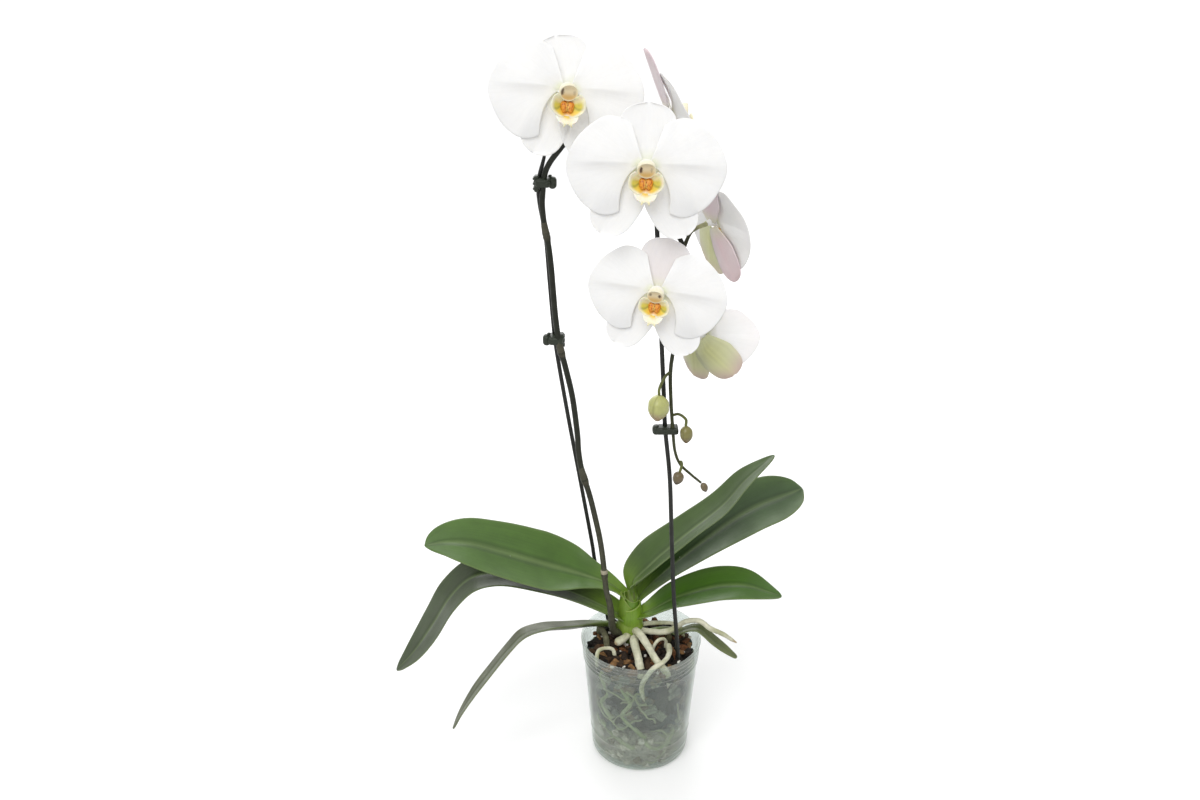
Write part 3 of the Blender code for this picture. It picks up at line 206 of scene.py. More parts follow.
class Bench:
    """The modelling bench: primitives laid out, painted, finished with modifiers and joined."""

    @staticmethod
    def pick(*pieces: Piece) -> None:
        """Select these pieces alone, the first one active."""
        bpy.ops.object.select_all(action="DESELECT")
        for piece in pieces:
            piece.select_set(True)
        bpy.context.view_layer.objects.active = pieces[0]

    @staticmethod
    def apply(piece: Piece, kind: str, **settings: object) -> None:
        """Add a modifier and apply it.

        Args:
            piece: The piece to change.
            kind: The modifier's type.
            **settings: The modifier's settings.
        """
        Bench.pick(piece)
        modifier = piece.modifiers.new(kind.lower(), kind)
        for key, value in settings.items():
            setattr(modifier, key, value)
        bpy.ops.object.modifier_apply(modifier=modifier.name)

    @staticmethod
    def fresh(name: str, primitive: Callable, **settings: object) -> Piece:
        """Add a primitive, with nothing else selected.

        Args:
            name: The piece's name.
            primitive: The operator that adds it.
            **settings: The operator's settings.

        Returns:
            The piece.
        """
        bpy.ops.object.select_all(action="DESELECT")
        primitive(**settings)
        piece = bpy.context.active_object
        piece.name = piece.data.name = name
        return piece

    @staticmethod
    def coat(piece: Piece, colours: Iterable[Colour]) -> None:
        """Paint a piece point by point.

        Args:
            piece: The piece.
            colours: The colour of each of its points.
        """
        layer = piece.data.color_attributes.new("paint", "FLOAT_COLOR", "POINT")
        layer.data.foreach_set("color", [part for colour in colours for part in (*colour, 1.0)])

    @staticmethod
    def grid(name: str, rows: Rows, paint: Paint) -> Piece:
        """Lay a grid along rows of points and paint it.

        Args:
            name: The piece's name.
            rows: Rows of points, all of one length.
            paint: The colour at a place along (0 to 1) and across (0 to 1) the grid.

        Returns:
            The open grid, with a UV map that runs across and along.
        """
        high, wide = len(rows), len(rows[0])
        piece = Bench.fresh(name, bpy.ops.mesh.primitive_grid_add, x_subdivisions=wide - 1,
                            y_subdivisions=high - 1, size=1)
        piece.data.vertices.foreach_set("co", [part for row in rows for point in row for part in point])
        Bench.coat(piece, [paint(i / (high - 1), j / (wide - 1)) for i in range(high) for j in range(wide)])
        return piece

    @staticmethod
    def skin(name: str, rows: Rows, paint: Paint) -> Piece:
        """Lay a grid whose last column meets its first, and close that seam.

        Args:
            name: The piece's name.
            rows: Rows of points, all of one length.
            paint: The colour at a place along and around.

        Returns:
            The closed piece.
        """
        piece = Bench.grid(name, rows, paint)
        Bench.face_out(piece, merge=MERGE)
        return piece

    @staticmethod
    def sheet(name: str, rows: Rows, paint: Paint, thickness: float,
              taper: Callable[[float, float], float] | None = None,
              ring: bool = False) -> Piece:
        """Make a closed sheet about rows of points, its rim rounded off.

        Args:
            name: The piece's name.
            rows: Rows of points, all of one length.
            paint: The colour at a place along and across.
            thickness: The full thickness, in millimetres.
            taper: The share of that thickness at a place along and across, or None for all of it.
            ring: Whether its last column meets its first.

        Returns:
            The sheet.
        """
        piece = Bench.grid(name, rows, paint)
        group = piece.vertex_groups.new(name="thick")
        high, wide = len(rows), len(rows[0])
        for index in range(high * wide):
            share = taper(index // wide / (high - 1), index % wide / (wide - 1)) if taper else 1.0
            group.add([index], share, "REPLACE")
        if ring:
            Bench.face_out(piece, merge=MERGE)
        Bench.apply(piece, "SOLIDIFY", thickness=thickness * MM, offset=0, vertex_group="thick",
                    thickness_vertex_group=0.05, use_quality_normals=True, material_offset=0)
        Bench.apply(piece, "SUBSURF", levels=1, render_levels=1)
        Bench.face_out(piece)
        return piece

    @staticmethod
    def face_out(piece: Piece, merge: float = 0.0) -> None:
        """Merge doubles, turn a piece's faces out and shade it smooth.

        Args:
            piece: The piece.
            merge: How near two points have to be to become one, in metres, or 0 to leave them.
        """
        Bench.pick(piece)
        bpy.ops.object.mode_set(mode="EDIT")
        bpy.ops.mesh.select_all(action="SELECT")
        if merge:
            bpy.ops.mesh.remove_doubles(threshold=merge)
        bpy.ops.mesh.normals_make_consistent(inside=False)
        bpy.ops.object.mode_set(mode="OBJECT")
        bpy.ops.object.shade_smooth()

    @staticmethod
    def tube(name: str, path: Sequence[Vector], radii: Sequence[float], sides: int, paint: Paint,
             lumps: Callable[[Vector], float] | None = None) -> Piece:
        """Roll a grid into a closed tube with rounded ends.

        Args:
            name: The piece's name.
            path: The points of its middle line, in metres.
            radii: A radius for each of them, in metres.
            sides: How many sides the tube has.
            paint: The colour at a place along and around.
            lumps: How far a point of the skin stands out, in metres.

        Returns:
            The tube.
        """
        pole, shoulder, shoulder_width = 0.45, 0.32, 0.62
        ways = tangents(path)
        headings = [ways[0], ways[0], *ways, ways[-1], ways[-1]]
        start, end = ways[0] * radii[0], ways[-1] * radii[-1]
        points = [path[0] - start * pole, path[0] - start * shoulder, *path,
                  path[-1] + end * shoulder, path[-1] + end * pole]
        widths = [0.0, radii[0] * shoulder_width, *radii, radii[-1] * shoulder_width, 0.0]
        side = ways[0].orthogonal().normalized()
        rows = []
        for point, way, radius in zip(points, headings, widths):
            side = (side - way * side.dot(way)).normalized()
            other = way.cross(side)
            row = []
            for step in range(sides + 1):
                angle = math.tau * (step % sides) / sides
                out = math.cos(angle) * side + math.sin(angle) * other
                spot = point + out * radius
                if lumps and radius:
                    spot = spot + out * lumps(spot)
                row.append(spot)
            rows.append(row)
        return Bench.skin(name, rows, paint)

    @staticmethod
    def turned(name: str, profile: Sequence[Span], steps: int) -> Piece:
        """Draw a profile point by point and spin it round the upright axis.

        Args:
            name: The piece's name.
            profile: (radius, height) pairs in millimetres, from the axis out and back to it.
            steps: How many steps the turn takes.

        Returns:
            The closed piece.
        """
        piece = Bench.fresh(name, bpy.ops.mesh.primitive_plane_add, size=MM)
        bpy.ops.object.mode_set(mode="EDIT")
        bpy.ops.mesh.select_all(action="SELECT")
        bpy.ops.mesh.merge(type="CENTER")
        bpy.ops.transform.translate(value=(profile[0][0] * MM, 0, profile[0][1] * MM))
        for (radius, height), (further, higher) in zip(profile, profile[1:]):
            move = ((further - radius) * MM, 0, (higher - height) * MM)
            bpy.ops.mesh.extrude_vertices_move(TRANSFORM_OT_translate={"value": move})
        bpy.ops.mesh.select_all(action="SELECT")
        bpy.ops.mesh.spin(steps=steps, angle=math.tau, center=(0, 0, 0), axis=(0, 0, 1))
        bpy.ops.object.mode_set(mode="OBJECT")
        Bench.face_out(piece, merge=1e-6)
        return piece

    @staticmethod
    def join(name: str, pieces: Sequence[Piece]) -> Piece:
        """Join pieces into one object.

        Args:
            name: The joined object's name.
            pieces: The pieces, the one that leads first.

        Returns:
            The joined object.
        """
        Bench.pick(*pieces)
        if len(pieces) > 1:
            bpy.ops.object.join()
        joined = bpy.context.active_object
        joined.name = joined.data.name = name
        return joined

    @staticmethod
    def seat(piece: Piece, finish: "Finish", nodes: Iterable[str] = ()) -> Piece:
        """Dress a piece, let it ride on the plant and stand for its CAD nodes.

        Args:
            piece: The finished piece.
            finish: Its finish.
            nodes: The CAD nodes that it stands for.

        Returns:
            The piece.
        """
        piece.data.materials.clear()
        piece.data.materials.append(finish.material())
        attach(piece, "root")
        if nodes:
            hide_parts(*nodes)
        return piece


class Recipe:
    """The shader nodes of one material, added one after another."""

    def __init__(self, name: str) -> None:
        """Start a material.

        Args:
            name: The material's name.
        """
        self.made = bpy.data.materials.new(name)
        self.made.use_nodes = True
        self.tree = self.made.node_tree
        self.shader = self.tree.nodes["Principled BSDF"]
        self.output = self.tree.nodes["Material Output"]

    def node(self, kind: str, inputs: dict | None = None, **settings: object) -> bpy.types.Node:
        """Add a node.

        Args:
            kind: The node's type, without its ShaderNode prefix.
            inputs: Its inputs by name or number, each a value or another node's output.
            **settings: The node's own settings.

        Returns:
            The node.
        """
        added = self.tree.nodes.new("ShaderNode" + kind)
        for key, value in settings.items():
            setattr(added, key, value)
        for key, value in (inputs or {}).items():
            self.feed(added.inputs[key], value)
        return added

    def feed(self, socket: Socket, value: object) -> None:
        """Link another node's output to an input, or set the input's value.

        Args:
            socket: The input.
            value: The output or the value.
        """
        if isinstance(value, Socket):
            self.tree.links.new(value, socket)
        else:
            socket.default_value = value

    def place(self, scale: Point = (1, 1, 1), flat: bool = False) -> Socket:
        """Give the piece's own coordinates.

        Args:
            scale: How much each axis is stretched.
            flat: Whether to read the UV map instead of the object's place.

        Returns:
            The coordinates.
        """
        source = self.node("TexCoord").outputs["UV" if flat else "Object"]
        return self.node("Mapping", {"Vector": source, "Scale": scale}).outputs["Vector"]

    def grain(self, vector: Socket, scale: float, detail: float = 3.0,
              rough: float = 0.55) -> Socket:
        """Make cloudy noise.

        Args:
            vector: The coordinates that it reads.
            scale: Its scale.
            detail: How many octaves it has.
            rough: How strong the fine ones are.

        Returns:
            The noise, about 0.5 in the middle.
        """
        inputs = {"Vector": vector, "Scale": scale, "Detail": detail, "Roughness": rough}
        return self.node("TexNoise", inputs).outputs["Fac"]

    def span(self, value: Socket, low: float, high: float, to_low: float,
             to_high: float) -> Socket:
        """Map a value from one span to another, held within it.

        Args:
            value: The value.
            low: The first span's start.
            high: The first span's end.
            to_low: The second span's start.
            to_high: The second span's end.

        Returns:
            The mapped value.
        """
        inputs = {"Value": value, "From Min": low, "From Max": high, "To Min": to_low, "To Max": to_high}
        return self.node("MapRange", inputs).outputs["Result"]

    def mix(self, share: Socket | float, low: object, high: object,
            way: str = "MIX") -> Socket:
        """Mix two colours.

        Args:
            share: How much of the second one shows.
            low: The first colour, or an output.
            high: The second colour, or an output.
            way: The blend type.

        Returns:
            The mixed colour.
        """
        added = self.node("Mix", {0: share}, data_type="RGBA", blend_type=way)
        for index, value in ((6, low), (7, high)):
            self.feed(added.inputs[index], (*value, 1.0) if isinstance(value, tuple) else value)
        return added.outputs[2]

    def shaded(self, colour: Socket, noise_value: Socket,
               depth: float) -> Socket:
        """Darken and lighten a colour with a noise.

        Args:
            colour: The colour.
            noise_value: The noise.
            depth: How far it darkens and lightens, as a share.

        Returns:
            The shaded colour.
        """
        shade = self.span(noise_value, 0.3, 0.7, 1 - depth, 1 + depth)
        grey = self.node("CombineColor", {"Red": shade, "Green": shade, "Blue": shade})
        return self.mix(1.0, colour, grey.outputs["Color"], "MULTIPLY")

    def bump(self, height: Socket, depth: float,
             normal: Socket | None = None) -> Socket:
        """Turn a height into relief.

        Args:
            height: The height, 0 to 1.
            depth: How deep it is, in metres.
            normal: Relief that it lies on, or None.

        Returns:
            The normal.
        """
        inputs = {"Height": height, "Distance": depth, "Strength": 1.0}
        if normal:
            inputs["Normal"] = normal
        return self.node("Bump", inputs).outputs["Normal"]

    def set(self, **inputs: object) -> None:
        """Set the main shader's inputs, with their spaces written as underscores."""
        for key, value in inputs.items():
            self.feed(self.shader.inputs[key.replace("_", " ")], value)


@dataclass(frozen=True)
class Finish:
    """A finish that starts from the piece's painted colour.

    The grain darkens and lightens it, the streaks run along the piece, and both stand in relief. The
    specks are the few pale dots that dust and water leave.
    """

    name: str
    slot: str
    rough: float = 0.5
    rough_spread: float = 0.08
    grain_scale: float = 90.0
    grain_depth: float = 0.08
    relief: float = 0.0001
    fine_scale: float = 900.0
    fine_relief: float = 0.00002
    streaks: float = 0.0
    streak_scale: Point = (40, 1.5, 1)
    streak_relief: float = 0.0
    specular: float = 0.5
    coat: float = 0.0
    sheen: float = 0.0
    soft: float = 0.0
    soft_reach: Point = (1.0, 0.8, 0.5)
    soft_scale: float = 0.002
    specks: float = 0.0
    speck_scale: float = 55.0
    speck_reach: Span = (0.015, 0.045)
    speck_colour: Colour = (0.75, 0.78, 0.66)

    def material(self) -> bpy.types.Material:
        """Build the material, once.

        Returns:
            The material.
        """
        found = bpy.data.materials.get(self.name)
        if found:
            return found
        recipe = Recipe(self.name)
        place = recipe.place()
        grain = recipe.grain(place, self.grain_scale)
        painted = recipe.node("Attribute", attribute_name="paint").outputs["Color"]
        colour = recipe.shaded(painted, grain, self.grain_depth)
        normal = recipe.bump(grain, self.relief)
        if self.streaks:
            streak = recipe.grain(recipe.place(self.streak_scale, flat=True), 1.0, 4.0, 0.6)
            colour = recipe.shaded(colour, streak, self.streaks)
            normal = recipe.bump(streak, self.streak_relief, normal)
        if self.specks:
            cells = recipe.node("TexVoronoi", {"Vector": place, "Scale": self.speck_scale, "Randomness": 1.0})
            dots = recipe.span(cells.outputs["Distance"], *self.speck_reach, self.specks, 0.0)
            colour = recipe.mix(dots, colour, self.speck_colour)
        fine = recipe.grain(place, self.fine_scale, 2.0)
        normal = recipe.bump(fine, self.fine_relief, normal)
        rough = recipe.span(grain, 0.3, 0.7, self.rough + self.rough_spread, self.rough - self.rough_spread)
        recipe.set(Base_Color=colour, Roughness=rough, Normal=normal)
        recipe.set(Specular_IOR_Level=self.specular, Coat_Weight=self.coat, Coat_Roughness=0.25,
                   Sheen_Weight=self.sheen, Sheen_Roughness=0.4)
        recipe.set(Subsurface_Weight=self.soft, Subsurface_Radius=self.soft_reach,
                   Subsurface_Scale=self.soft_scale)
        return recipe.made


@dataclass(frozen=True)
class ClearPlastic:
    """The pot's clear plastic: thin, a little frosted, with a grey haze and soft gloss."""

    name: str = "clear_pot_plastic"
    slot: str = "clear_plastic"
    tint: Colour = (0.91, 0.95, 0.94)
    haze: Colour = (0.70, 0.72, 0.66)
    cloud_scale: float = 28.0
    cloud_relief: float = 0.0004
    cloud_shares: Span = (0.75, 1.35)
    haze_face: float = 0.085
    haze_edge: float = 0.40
    haze_top: float = 0.03
    haze_foot: float = 0.05
    top_band: Span = (0.104, 0.112)
    foot_band: Span = (0.043, 0.037)
    gloss_rough: float = 0.3
    gloss_face: float = 0.03
    gloss_edge: float = 0.5

    def material(self) -> bpy.types.Material:
        """Build the material.

        Returns:
            The material.
        """
        recipe = Recipe(self.name)
        place = recipe.place()
        cloud = recipe.grain(place, self.cloud_scale, 4.0, 0.6)
        normal = recipe.bump(cloud, self.cloud_relief)
        clear = recipe.node("BsdfTransparent", {"Color": (*self.tint, 1)}).outputs[0]
        white = recipe.node("BsdfDiffuse", {"Color": (*self.haze, 1), "Normal": normal}).outputs[0]
        through = recipe.node("BsdfTranslucent", {"Color": (*self.haze, 1), "Normal": normal}).outputs[0]
        milk = recipe.node("MixShader", {0: 0.5, 1: white, 2: through}).outputs[0]
        edge = recipe.node("LayerWeight", {"Blend": 0.25}).outputs["Facing"]
        share = recipe.span(edge, 0.0, 1.0, self.haze_face, self.haze_edge)
        cloudy = recipe.span(cloud, 0.3, 0.7, *self.cloud_shares)
        share = recipe.node("Math", {0: share, 1: cloudy}, operation="MULTIPLY").outputs[0]
        height = recipe.node("SeparateXYZ", {0: place}).outputs["Z"]
        for edges, more in ((self.top_band, self.haze_top), (self.foot_band, self.haze_foot)):
            band = recipe.span(height, *edges, 0.0, more)
            share = recipe.node("Math", {0: share, 1: band}, operation="ADD").outputs[0]
        body = recipe.node("MixShader", {0: share, 1: clear, 2: milk}).outputs[0]
        gloss_inputs = {"Color": (1, 1, 1, 1), "Roughness": self.gloss_rough, "Normal": normal}
        gloss = recipe.node("BsdfAnisotropic", gloss_inputs).outputs[0]
        graze = recipe.node("LayerWeight", {"Blend": 0.5, "Normal": normal}).outputs["Facing"]
        steep = recipe.node("Math", {0: graze, 1: 4.0}, operation="POWER").outputs[0]
        shine = recipe.span(steep, 0.0, 1.0, self.gloss_face, self.gloss_edge)
        last = recipe.node("MixShader", {0: shine, 1: body, 2: gloss}).outputs[0]
        recipe.tree.nodes.remove(recipe.shader)
        recipe.tree.links.new(last, recipe.output.inputs["Surface"])
        return recipe.made


PETAL = Finish("petal_skin", "petal_white", rough=0.55, grain_scale=160, grain_depth=0.012,
               relief=0.00008, fine_scale=1400, fine_relief=0.00002, streaks=0.015,
               streak_scale=(46, 2.2, 1), streak_relief=0.00012, specular=0.25, sheen=0.05, soft=0.30,
               soft_reach=(1.0, 0.95, 0.85), soft_scale=0.002)
LIP = Finish("lip_skin", "lip_yellow", rough=0.42, grain_scale=400, grain_depth=0.06, relief=0.00008,
             specular=0.4, coat=0.1, soft=0.25, soft_reach=(1.0, 0.7, 0.35), soft_scale=0.001)
LEAF = Finish("leaf_skin", "leaf_green", rough=0.40, rough_spread=0.08, grain_scale=38, grain_depth=0.12,
              relief=0.0004, fine_scale=1500, fine_relief=0.00002, streaks=0.10,
              streak_scale=(60, 2.5, 1), streak_relief=0.00008, specular=0.4, coat=0.08, soft=0.04,
              soft_reach=(0.5, 1.0, 0.2), specks=0.35)
OLD_LEAF = Finish("old_leaf_skin", "old_leaf_green", rough=0.46, grain_scale=60, grain_depth=0.16,
                  relief=0.0003, streaks=0.14, streak_scale=(50, 2.0, 1), streak_relief=0.0002,
                  coat=0.1)
CROWN = Finish("leaf_base_skin", "crown_green", rough=0.42, grain_scale=60, grain_depth=0.12,
               relief=0.0002, streaks=0.12, streak_scale=(60, 1.5, 1), streak_relief=0.0001, coat=0.1,
               soft=0.08, soft_reach=(0.6, 1.0, 0.2))
ROOT = Finish("root_velamen", "root_silver", rough=0.75, grain_scale=220, grain_depth=0.14,
              relief=0.0005, fine_scale=1800, fine_relief=0.00012, streaks=0.10,
              streak_scale=(14, 6, 1), streak_relief=0.0002, specular=0.25, soft=0.1,
              soft_reach=(1, 0.9, 0.6))
WALL_ROOT = Finish("root_behind_wall", "root_green", rough=0.7, grain_scale=150, grain_depth=0.2,
                   relief=0.0004, streaks=0.1, streak_scale=(10, 4, 1), specular=0.2)
DRY = Finish("dry_stem_bark", "dry_stem", rough=0.85, grain_scale=260, grain_depth=0.3, relief=0.0006,
             streaks=0.25, streak_scale=(16, 3, 1), streak_relief=0.0004, specular=0.15)
SPIKE = Finish("spike_bark", "spike_olive", rough=0.48, grain_scale=180, grain_depth=0.25,
               relief=0.0002, streaks=0.15, streak_scale=(10, 12, 1), streak_relief=0.0001,
               specular=0.25)
BUD = Finish("bud_skin", "bud_green", rough=0.36, grain_scale=300, grain_depth=0.06, relief=0.00012,
             streaks=0.05, streak_scale=(24, 2, 1), streak_relief=0.0001, coat=0.2, soft=0.15,
             soft_reach=(0.8, 1.0, 0.4))
STAKE = Finish("stake_plastic", "stake_black", rough=0.42, grain_scale=240, grain_depth=0.2,
               relief=0.00008, streaks=0.1, streak_scale=(12, 30, 1), specular=0.3)
CLIP = Finish("clip_plastic", "clip_green", rough=0.42, grain_scale=500, grain_depth=0.12,
              relief=0.00005, specular=0.35)
BARK = Finish("bark_chip", "bark_mix", rough=0.88, grain_scale=320, grain_depth=0.42, relief=0.0009,
              fine_scale=1600, fine_relief=0.0002, specular=0.2)


@dataclass
class Bloom:
    """One open flower: three sepals, two petals, the column and the lip."""

    name: str
    centre: Point
    yaw: float
    pitch: float
    lean: float
    size: float = 1.0
    nod: float = 0.0
    hang: float = 0.0
    lateral: float = 1.0
    close: float = 0.0
    fan: float = 1.0
    blush: float = 0.0
    green: float = 0.0
    open_heart: float = 18.0
    white: Colour = (0.95, 0.945, 0.93)
    tints: tuple[Colour, Colour, Colour] = ((0.95, 0.945, 0.93),) * 3
    tinted: float = 0.0
    dorsal: float = 1.0
    lateral_width: float = 1.0
    petal_grid: tuple[int, int] = (22, 48)
    petal_thickness: float = 0.9
    crease_line: float = 1.5
    crease_height: float = 1.8
    crease_fade: float = 20.0
    crease_width: float = 9.5
    crease_drop: float = 2.2
    sepal_grid: tuple[int, int] = (22, 16)
    sepal_thickness: float = 1.0
    sepal_half_width: float = 22.5
    sepal_length: float = 47.0
    lateral_foot: Span = (3.0, -4.0)
    lateral_angle: float = -58.0
    lateral_length: float = 60.0
    lateral_half_width: float = 18.0
    lip_thickness: float = 1.0
    cavity_shade_spots: CavityShadeSpots = ((-4.3, -3.2, 1.3, 2.6, 0.95), (3.9, -3.2, 1.0, 2.0, 0.35))
    outline: Pairs = ((-65, 41), (-54, 50), (-38, 55.5), (-20, 58.5), (-3, 60.7), (14, 57.5), (33, 52),
                      (52, 46), (71, 32))
    sepal_widths: Pairs = ((0, 0.35), (0.2, 0.72), (0.45, 1.0), (0.7, 0.99), (0.85, 0.85), (0.94, 0.6),
                           (0.985, 0.3), (1, 0.08))

    def __post_init__(self) -> None:
        """Work out the bloom's right, up and forward directions."""
        yaw, pitch, lean = (math.radians(turn) for turn in (self.yaw, self.pitch, self.lean))
        forward = Vector((math.sin(yaw) * math.cos(pitch), -math.cos(yaw) * math.cos(pitch),
                          math.sin(pitch)))
        upright = (Vector((0, 0, 1)) - forward * forward.z).normalized()
        right = upright.cross(forward)
        up = upright * math.cos(lean) - right * math.sin(lean)
        self.axes = (up.cross(forward), up, forward)

    def spot(self, right: float, up: float, forward: float) -> Vector:
        """Place a point of the bloom.

        Args:
            right: Millimetres to the bloom's right.
            up: Millimetres up.
            forward: Millimetres towards its front.

        Returns:
            The point in the part's frame, in metres.
        """
        across, upward, ahead = self.axes
        offset = across * right + upward * up + ahead * forward
        return Vector(self.centre) * MM + offset * self.size * MM

    def folded(self, right: float, up: float, forward: float) -> Vector:
        """Place a tepal's point, turned forwards as far as the bloom is closed.

        Args:
            right: Millimetres to the bloom's right.
            up: Millimetres up.
            forward: Millimetres towards its front.

        Returns:
            The point in the part's frame, in metres.
        """
        turn = math.radians(self.close)
        reach = max(math.hypot(right, up), 0.001)
        outer = max(reach - self.open_heart, 0)
        share = (reach - outer + outer * math.cos(turn)) / reach
        return self.spot(right * share, up * share, forward + outer * math.sin(turn))

    def petal(self, mirror: int) -> Piece:
        """Model a broad petal, creased along its middle and waved along its rim.

        Args:
            mirror: 1 for the right petal, -1 for the left one.

        Returns:
            The petal.
        """
        lowest, highest = self.outline[0][0], self.outline[-1][0]

        def spot(along: float, across: float) -> Vector:
            """Place a point of the petal."""
            share = 0.05 + 0.95 * along
            aside = 2 * across - 1
            angle = (highest if aside > 0 else lowest) * abs(aside)**1.3
            bend = 0.55 * ramp(-angle, 0, 40)
            turn = math.radians(angle * self.fan) * share**bend
            reach = eased(self.outline, angle) * share
            x, y = 2.0 + reach * math.cos(turn), reach * math.sin(turn)
            return self.folded(mirror * x, y, self.relief(y, share, angle, mirror))

        def paint(along: float, across: float) -> Colour:
            """Colour the petal from its throat to its rim."""
            throat = blend(self.white, (0.78, 0.80, 0.60), 1 - ramp(along, 0.0, 0.16))
            return blend(throat, (0.86, 0.74, 0.76), self.blush * 0.35 * ramp(along, 0.5, 1.0))

        return Bench.sheet("petal", lattice(*self.petal_grid, spot), paint, self.petal_thickness,
                           lambda along, across: 1.3 - 0.6 * along)

    def relief(self, y: float, share: float, angle: float, mirror: int) -> float:
        """Say how far a point of a petal stands forward.

        Args:
            y: Millimetres above the foot of the petal.
            share: How far out it is, 0 to 1.
            angle: Which way it lies from the foot, in degrees.
            mirror: The petal's side.

        Returns:
            Millimetres towards the bloom's front.
        """
        below = self.crease_line - y
        if below < 0:
            crease = self.crease_height * bell(below, self.crease_fade)
        else:
            fall = self.crease_drop * (1 - (1 - min(below / self.crease_width, 1.0))**2)
            crease = self.crease_height - fall + 0.9 * ramp(below, self.crease_width, 30)
        crease *= ramp(share, 0.05, 0.35) * (1 - ramp(share, 0.55, 1.02))
        reflex = -2.6 * (share**2) * (abs(y) / 40)**1.5
        wave = 0.9 * math.sin(math.radians(angle) * 3.2 + 0.8) * share**3
        ripple = 0.4 * math.sin(math.radians(angle) * 11 + mirror + self.yaw) * share**5
        return 1.0 + crease + reflex + wave + ripple

    def sepal(self, angle: float, foot: Span, length: float, half_width: float,
              tint: Colour, mirror: int = 1) -> Piece:
        """Model an oval sepal behind the petals.

        Args:
            angle: Where it points, in degrees from the bloom's right.
            foot: Where it starts.
            length: How long it is.
            half_width: Half its greatest width.
            tint: The colour that its back is flushed with.
            mirror: -1 for the left one of a pair.

        Returns:
            The sepal.
        """
        turn = math.radians(angle)
        away = Vector((math.cos(turn), math.sin(turn)))
        aside = Vector((-away.y, away.x))
        depth = -2.6 + 0.55 * min(mirror, 0)

        def spot(along: float, across: float) -> Vector:
            """Place a point of the sepal."""
            place, side = along * (1.3 - 0.3 * along), 2 * across - 1
            half = half_width * eased(self.sepal_widths, place)
            flat = Vector(foot) + away * length * place + aside * half * side
            keel = 0.8 * bell(side, 0.14) * ramp(place, 0.0, 0.3) * (1 - 0.6 * place)
            rib = 0.25 * math.cos(side * 22) * self.green * (1 - place)
            cup = 1.8 * side**2 * place - 2.0 * place**2 - keel + rib
            return self.folded(mirror * flat.x, flat.y, depth + cup)

        def paint(along: float, across: float) -> Colour:
            """Colour the sepal, its flush strongest along its middle."""
            rim = abs(2 * across - 1)
            flush = blend(self.white, tint, self.tinted * (1.0 - 0.25 * rim) * (1.1 - 0.3 * along))
            groove = 0.5 + 0.5 * math.cos(across * 44)
            flush = blend(flush, tuple(0.55 * c for c in tint), 0.4 * groove * self.green * (1 - along))
            rose = blend(flush, (0.55, 0.33, 0.38), self.blush * ramp(along + 0.25 * rim, 0.55, 1.15))
            return blend(rose, (0.74, 0.77, 0.52), 0.6 * (1 - ramp(along, 0.0, 0.25)))

        return Bench.sheet("sepal", lattice(*self.sepal_grid, spot), paint, self.sepal_thickness,
                           lambda along, across: 1.2 - 0.5 * along)

    def column(self) -> Piece:
        """Model the column: a hooded post whose hollow tan face, partly painted shade under the hood, has two
        spots of painted shade in its cavities.

        Returns:
            The column.
        """
        count = 24
        line = smooth_path(((0, 0, -7), (0, 0, -3), (0, -1, 3), (0, -2.4, 7), (0, -3.6, 10.5)), count)
        ways = tangents(line)
        radii: Pairs = ((0, 2.0), (0.2, 3.4), (0.5, 5.6), (0.75, 6.6), (0.92, 6.6), (1, 6.4))
        stations = [(line[0] / MM, ways[0], 0.0, 0.0)]
        for index, (point, way) in enumerate(zip(line, ways)):
            place = index / (count - 1)
            stations.append((point / MM, way, eased(radii, place), ramp(place, 0.6, 1.0)))
        for share in (0.93, 0.84, 0.7, 0.56, 0.42, 0.28, 0.14, 0.0):
            hollow = 0.8 * (1 - share**3)
            stations.append((line[-1] / MM - ways[-1] * hollow, ways[-1], radii[-1][1] * share, share**4))
        last = len(stations) - 1

        def local(along: float, across: float) -> tuple[Vector, float]:
            """Find a point in the bloom's own millimetres, and how far it is on the upper side."""
            point, way, radius, hood = stations[round(along * last)]
            angle = math.tau * (across % 1.0)
            high = math.sin(angle)
            out = Vector((1.12 * math.cos(angle), way.z * high, -way.y * high)) * radius
            return point + out + way * 1.1 * hood * max(high, 0)**1.5, high

        def paint(along: float, across: float) -> Colour:
            """Colour the point."""
            spot, high = local(along, across)
            return self.heart_colour(spot, along, high)

        rows = lattice(last, 44, lambda along, across: self.spot(*local(along, across)[0]))
        return Bench.skin("column", rows, paint)

    def heart_colour(self, spot: Vector, along: float, high: float) -> Colour:
        """Colour the column: cream, with a tan face that is partly painted shade and spots of painted shade
        in its cavities.

        Args:
            spot: The point, in the bloom's own millimetres.
            along: How far along the column it is.
            high: Whether it is on the upper side (1) or the lower (-1).

        Returns:
            The colour there.
        """
        skin = blend(self.white, (0.86, 0.80, 0.60), ramp(along, 0.3, 0.7))
        # the tan face is partly the column's own tan and partly painted shade under the hood, darker towards
        # its lower edge
        tan_face_and_shade = ramp(along, 0.75, 0.83) * (1 - 0.8 * ramp(high, 0.75, 1.0) * (1 - ramp(along, 0.78, 0.88)))
        tan = blend((0.66, 0.42, 0.14), (0.82, 0.70, 0.47), ramp(spot.y, -7.5, -2))
        skin = blend(skin, tan, tan_face_and_shade)
        # spots of painted shade in the cavities of the column face
        for x, y, wide, tall, strength in self.cavity_shade_spots:
            shade_reach = ((spot.x - x) / wide)**2 + ((spot.y - y) / tall)**2
            skin = blend(skin, (0.07, 0.03, 0.018), strength * tan_face_and_shade * (1 - ramp(shade_reach, 0.4, 1.3)))
        return skin

